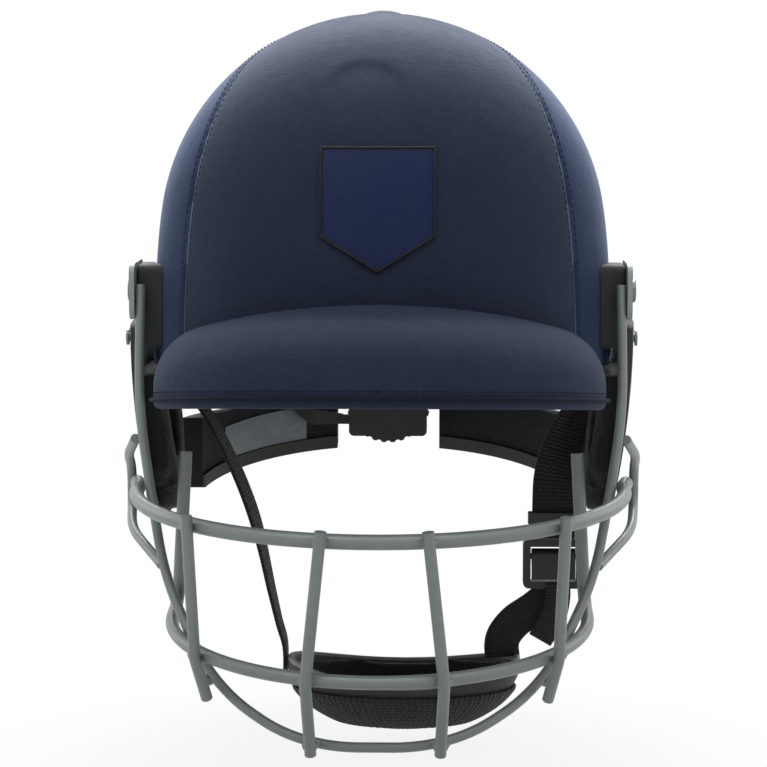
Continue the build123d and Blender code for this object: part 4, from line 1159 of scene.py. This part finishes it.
@dataclass
class ChinCup:
    """The moulded cup under the chin, its edging and the webbing round it."""

    centre: tuple[float, float, float] = (9.7, -24.0, -146.0)
    half: tuple[float, float, float] = (52.0, 31.0, 31.0)
    wall: float = 3.0
    rim_radius: float = 58.0
    band_top: float = -157.0
    band_bottom: float = -172.0
    ribs: int = 44
    rib_depth: float = 0.22
    rim_rise: float = 0.9
    edging_radius: float = 1.25

    def shell(self, inset: np.ndarray, fall: np.ndarray, turn: np.ndarray) -> np.ndarray:
        """Points at an inset under the cup's outer face.

        The face is the lower half of an ellipsoid. The fall runs from 0 where it is widest to a quarter turn
        at the bottom.
        """
        across, along, down = self.half
        return np.stack([self.centre[0] + (across - inset) * np.cos(fall) * np.cos(turn),
                         self.centre[1] + (along - inset) * np.cos(fall) * np.sin(turn),
                         self.centre[2] - (down - inset) * np.sin(fall) + 0 * turn], -1)

    def rim_fall(self, inset: float, turn: np.ndarray) -> np.ndarray:
        """The fall at which the face meets the rim's arc, which dips in front and behind.

        It is found by halving the steps thirty times.
        """
        low, high = np.zeros_like(turn), np.full_like(turn, math.pi / 3)
        for _ in range(30):
            middle = (low + high) / 2
            ahead = (self.half[1] - inset) * np.cos(middle) * np.sin(turn)
            dip = self.rim_radius - np.sqrt(self.rim_radius**2 - ahead**2)
            above = (self.half[2] - inset) * np.sin(middle) < dip
            low, high = np.where(above, middle, low), np.where(above, high, middle)
        return low

    def build(self, rubber: bpy.types.Material, edging: bpy.types.Material,
              webbing: bpy.types.Material) -> None:
        """Makes the cup with shallow ribs, a beaded edge, and the band of webbing."""
        turn = np.linspace(0, TURN, 160, endpoint=False)[None]
        share = np.linspace(0, 1, 30)[:, None]
        outer, inner = (math.pi / 2 + share * (self.rim_fall(inset, turn) - math.pi / 2)
                        for inset in (0.0, self.wall))
        ribbed = self.rib_depth * (1 + np.sin(turn * self.ribs)) * np.sin(outer * 2)
        outside = self.shell(ribbed, outer, turn)
        inside = self.shell(np.full_like(inner, self.wall), inner[::-1], turn)
        step = np.linspace(0, 1, 7)[1:-1, None, None]
        rise = np.array([0, 0, self.rim_rise])
        rim = outside[-1:] + (inside[:1] - outside[-1:]) * step + rise * np.sin(math.pi * step)
        points = np.concatenate([outside, rim, inside])
        moulding = surface("chin_cup_moulding", points, False, True)
        set_on(moulding, "chin_strap", "chin_cup", rubber, "chin_cup")
        around = np.linspace(0, TURN, 200, endpoint=False)
        path = self.shell(np.full(200, self.wall / 2), self.rim_fall(self.wall / 2, around), around)
        path = path + rise
        upright = np.tile([0.0, 0.0, 1.0], (200, 1))
        bead = carried("chin_cup_edging", path, upright, round_profile(self.edging_radius), True)
        set_on(bead, "chin_strap", "chin_cup", edging)
        self.band(webbing)

    def band(self, webbing: bpy.types.Material) -> None:
        """The webbing round the cup: a flat ring between two heights, drawn in at its edges."""
        turn = np.linspace(0, TURN, 240, endpoint=False)[:, None]
        top = math.asin((self.centre[2] - self.band_top) / self.half[2])
        bottom = math.asin((self.centre[2] - self.band_bottom) / self.half[2])
        share = np.linspace(0, 1, 16)
        fall = np.concatenate([top + (bottom - top) * share, bottom + (top - bottom) * share])[None]
        lift = np.concatenate([np.full(16, 0.35), np.full(16, 1.9)])
        lift[[0, 15]] += 0.4
        lift[[16, 31]] -= 0.4
        ripple = 0.12 * np.sin(turn * 60) * (lift > 1)[None]
        points = self.shell(-(lift[None] + ripple), fall, turn)
        across = np.concatenate([15 * share, 15 - 15 * share, [0.0]])
        chart = (np.linspace(0, 262, 241), across)
        ring = surface("cup_band", points, True, True, chart)
        set_on(ring, "chin_strap", "webbing", webbing, "cup_webbing")


@dataclass
class Grille:
    """Weld beads where the uprights meet the bars."""

    top_bar: tuple[float, float, float, float] = (104.5, -57.0, -69.0, -64.0)
    middle_bar: tuple[float, float, float, float] = (88.5, -71.0, -125.7, -117.0)
    top_x: tuple[float, ...] = (21.5, 76.0)
    middle_x: tuple[float, ...] = (27.5, 74.0)
    feet: tuple[tuple[float, float, float], ...] = ((26.2, -145.4, -154.6), (70.6, -111.0, -135.8))
    top_out: float = 3.0
    middle_out: float = 2.9
    bead: tuple[float, float, float] = (3.5, 2.3, 2.2)

    @staticmethod
    def on_bar(bar: tuple[float, float, float, float], x: float, out: float) -> tuple[float, float, float]:
        """A point at x that lies out in front of a half-circle bar."""
        radius, centre_y, front_z, back_z = bar
        tilt = math.asin((back_z - front_z) / radius)
        depth = math.sqrt((radius + out) ** 2 - x**2)
        return x, centre_y - depth * math.cos(tilt), back_z - depth * math.sin(tilt)

    def build(self, coat: bpy.types.Material) -> None:
        """Makes every bead as a lumpy ball: its radius swells and shrinks with both angles."""
        places = [self.on_bar(self.top_bar, x, self.top_out) for x in self.top_x]
        places += [self.on_bar(self.middle_bar, x, self.middle_out) for x in self.middle_x]
        left = np.array([*places, *self.feet])
        middles = np.concatenate([left, left * np.array([-1, 1, 1])])
        turn = np.linspace(0, TURN, 20, endpoint=False)[:, None]
        fall = np.linspace(0, math.pi, 12)[None]
        lump = 1 + 0.10 * np.sin(3 * turn + 1) * np.sin(2 * fall) + 0.06 * np.cos(5 * fall)
        wide, deep, high = self.bead
        ball = np.stack([wide * np.sin(fall) * np.cos(turn), deep * np.sin(fall) * np.sin(turn),
                         high * np.cos(fall) + 0 * turn], -1)
        points = (middles[:, None, None] + ball * lump[..., None]).reshape(-1, 3)
        quads, _ = grid_faces(20, 12, True, False)
        faces = (quads[None] + np.arange(len(middles))[:, None, None] * 240).reshape(-1, 4)
        mesh = bpy.data.meshes.new("grille_welds")
        mesh.from_pydata((points * MM).tolist(), [], faces.tolist())
        set_on(finished("grille_welds", mesh), "grille", "grille", coat)


@dataclass
class Studio:
    """A pale floor and backdrop, soft lamps, and the camera at the photograph's angle."""

    target: tuple[float, float, float] = (0.0, 0.0, -25.0)
    distance: float = 1200.0
    elevation: float = 6.6
    yaw: float = 1.25
    lens: float = 125.2
    floor_z: float = -182.0
    floor_reach: float = 6.0
    ambient: float = 0.22
    lamps: tuple[tuple[str, tuple[float, float, float], float, float], ...] = (
        ("top_lamp", (0.0, 1.0, 1.2), 1.2, 60.0),
        ("key_lamp", (-0.6, -0.8, 1.55), 0.9, 7.5),
        ("fill_lamp", (0.6, -0.8, 1.55), 1.0, 6.5),
        ("left_lamp", (1.3, 0.6, 0.45), 0.9, 3.6),
        ("right_lamp", (-1.3, 0.6, 0.45), 0.9, 3.6))

    def camera(self) -> None:
        """Sets the camera up and makes it the scene's."""
        lens = bpy.data.cameras.new("camera")
        lens.lens = self.lens
        lens.sensor_width = 36.0
        lens.clip_end = 50.0
        turn, rise = math.radians(self.yaw), math.radians(self.elevation)
        place = Vector((math.sin(turn) * math.cos(rise), -math.cos(turn) * math.cos(rise), math.sin(rise)))
        view = bpy.data.objects.new("camera", lens)
        view.location = (Vector(self.target) + place * self.distance) * MM
        view.rotation_euler = (-place).to_track_quat("-Z", "Y").to_euler()
        bpy.context.scene.collection.objects.link(view)
        bpy.context.scene.camera = view

    @staticmethod
    def lamp(name: str, place: tuple[float, float, float], size: float, power: float) -> None:
        """A square soft lamp that looks at the helmet, in metres and watts."""
        light = bpy.data.lights.new(name, "AREA")
        light.size = size
        light.energy = power
        lamp = bpy.data.objects.new(name, light)
        lamp.location = place
        lamp.rotation_euler = (-Vector(place)).to_track_quat("-Z", "Y").to_euler()
        bpy.context.scene.collection.objects.link(lamp)

    def backdrop(self) -> None:
        """The floor, pale for the camera, and a world that lights softly and shows white."""
        mesh = bpy.data.meshes.new("floor")
        reach, z = self.floor_reach, self.floor_z * MM
        mesh.from_pydata([(-reach, -reach, z), (reach, -reach, z), (reach, reach, z), (-reach, reach, z)], [],
                         [(0, 1, 2, 3)])
        floor = bpy.data.objects.new("floor", mesh)
        bpy.context.scene.collection.objects.link(floor)
        shader = Shader("pale_floor", Roughness=1.0, Base_Color=(0.5, 0.5, 0.5, 1.0), Specular_IOR_Level=0.0)
        rays = shader.node("ShaderNodeLightPath", {}, {})
        glow = shader.node("ShaderNodeEmission", {}, {"Color": (1, 1, 1, 1), "Strength": 1.0})["Emission"]
        left, front, _ = shader.axes(shader.place())
        bright = (0.88 + (left * left + front * front) * 0.4).clamped()
        seen = (rays["Is Camera Ray"] + rays["Is Glossy Ray"]).clamped() * bright
        plain = Socket(shader, shader.surface.outputs["BSDF"])
        mixed = shader.node("ShaderNodeMixShader", {}, {0: seen, 1: plain, 2: glow})["Shader"]
        output = shader.tree.nodes["Material Output"]
        shader.tree.links.new(mixed.output, output.inputs["Surface"])
        dress(floor, shader.material)
        world = bpy.data.worlds.new("studio")
        world.use_nodes = True
        bpy.context.scene.world = world
        tree = world.node_tree
        path = tree.nodes.new("ShaderNodeLightPath")
        seen = tree.nodes.new("ShaderNodeMath")
        seen.operation = "MAXIMUM"
        tree.links.new(path.outputs["Is Camera Ray"], seen.inputs[0])
        tree.links.new(path.outputs["Is Glossy Ray"], seen.inputs[1])
        level = tree.nodes.new("ShaderNodeMapRange")
        level.inputs["To Min"].default_value = self.ambient
        level.inputs["To Max"].default_value = 1.0
        tree.links.new(seen.outputs["Value"], level.inputs["Value"])
        background = tree.nodes["Background"]
        background.inputs["Color"].default_value = (1, 1, 1, 1)
        tree.links.new(level.outputs["Result"], background.inputs["Strength"])

    def build(self) -> None:
        """Lights the scene and points the camera."""
        self.camera()
        self.backdrop()
        for name, place, size, power in self.lamps:
            self.lamp(name, place, size, power)
        bpy.context.scene.view_settings.view_transform = "Standard"


NODE_GROUPS = {
    "shell": ("outer_shell", "peak_board"),
    "liner": ("impact_liner",),
    "ear_guard": ("ear_guard_left", "ear_guard_right"),
    "temple_block": ("temple_block_left", "temple_block_right", "ear_guard_spacers"),
    "coat": ("grille_top_bar", "grille_middle_bar", "grille_side_wire", "grille_side_loop_left",
             "grille_side_loop_right", "grille_inner_upright_left", "grille_inner_upright_right",
             "grille_outer_upright_left", "grille_outer_upright_right"),
    "plate": ("temple_plate_left", "temple_plate_right"),
    "steel": ("temple_washers", "temple_nuts", "strap_rivets"),
    "screw": ("temple_screws", "ear_guard_rivets"),
    "foam": ("nape_guard_left", "nape_guard_right"),
    "trim": ("nape_trims",),
    "plastic": ("nape_clips", "adjuster_housing", "adjuster_hanger", "adjuster_dial", "adjuster_pinion",
                "adjuster_arm_left", "adjuster_arm_right", "arm_sleeves", "buckle_frame", "buckle_lever",
                "strap_keeper"),
    "film": ("size_sticker",),
}


def finishes() -> dict[str, bpy.types.Material]:
    """Every finish of the helmet, by its use."""
    navy = (0.0198, 0.028, 0.0545)
    made = {
        "centre": Jersey("centre_jersey", navy),
        "side": Jersey("side_jersey", (0.0155, 0.0285, 0.076)),
        # The peak's jersey is a lighter copy of the centre's navy. The lighter navy is painted light,
        # standing in for the light that falls on the peak's crest.
        "peak": Jersey("peak_jersey", (0.0225, 0.031, 0.061), 1.4, 0.04, 0.16),
        "thread": Grain("navy_thread", (0.015, 0.021, 0.040), 0.6, 0.03, 0.9, 1.35, 0.1),
        "piping": Grain("piping_cloth", (0.011, 0.014, 0.025), 0.8, 0.08, 0.9, 1.35, 0.15),
        "patch": Satin("patch_satin", (0.008, 0.018, 0.075)),
        "border": Satin("patch_border_thread", (0.006, 0.007, 0.011), 0.9),
        "shell": Grain("shell_plastic", (0.03, 0.03, 0.032), 1.0, 0.04, 0.5),
        "liner": Grain("bead_foam", (0.035, 0.035, 0.036), 3.2, 0.25, 0.85),
        "pads": PadCloth("pad_cloth", (0.022, 0.022, 0.023)),
        "ear_guard": Grain("flocked_rubber", (0.060, 0.064, 0.058), 0.9, 0.25, 0.92, 1.7),
        "temple_block": Grain("block_rubber", (0.034, 0.036, 0.033), 1.1, 0.08, 0.75),
        "coat": PowderCoat("grille_coat", linear(130, 138, 134)),
        "plate": PowderCoat("plate_coat", linear(150, 158, 155)),
        "steel": Metal("plated_steel", (0.42, 0.43, 0.43)),
        "screw": Metal("dark_steel", (0.16, 0.165, 0.165)),
        "foam": Grain("nape_foam", (0.014, 0.015, 0.017), 1.6, 0.15, 0.85),
        "trim": Grain("trim_rubber", (0.055, 0.055, 0.05), 1.0, 0.08, 0.7),
        "plastic": Grain("black_plastic", (0.016, 0.016, 0.016), 0.9, 0.05, 0.45),
        "film": Film("silver_film", linear(120, 128, 132)),
        "webbing": Webbing("black_webbing", (0.014, 0.014, 0.014)),
        "cup_webbing": Webbing("cup_webbing_cloth", (0.026, 0.026, 0.024), 2.4),
        "cup": Grain("cup_rubber", (0.032, 0.032, 0.028), 1.2, 0.08, 0.6),
        "edging": Grain("edging_rubber", linear(150, 156, 150), 1.0, 0.05, 0.6, 1.15),
    }
    return {use: finish.material() for use, finish in made.items()}


def main() -> None:
    """Builds every sub-assembly in order."""
    logging.basicConfig(level=logging.INFO, format="%(message)s")
    Studio().build()
    cloth = finishes()
    for use, nodes in NODE_GROUPS.items():
        for node in nodes:
            dress(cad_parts[node], cloth[use])
            log.info("dressed %s", node)
    dome = Dome()
    Cover(dome).build(cloth)
    Peak(dome).build(cloth["peak"], cloth["piping"], cloth["thread"])
    BrowPatch(dome).build(cloth["patch"], cloth["border"])
    Padding(dome).build(cloth["pads"])
    ChinStrap().build(cloth["webbing"], cloth["thread"])
    ChinCup().build(cloth["cup"], cloth["edging"], cloth["cup_webbing"])
    Grille().build(cloth["coat"])


if __name__ == "__main__":
    main()
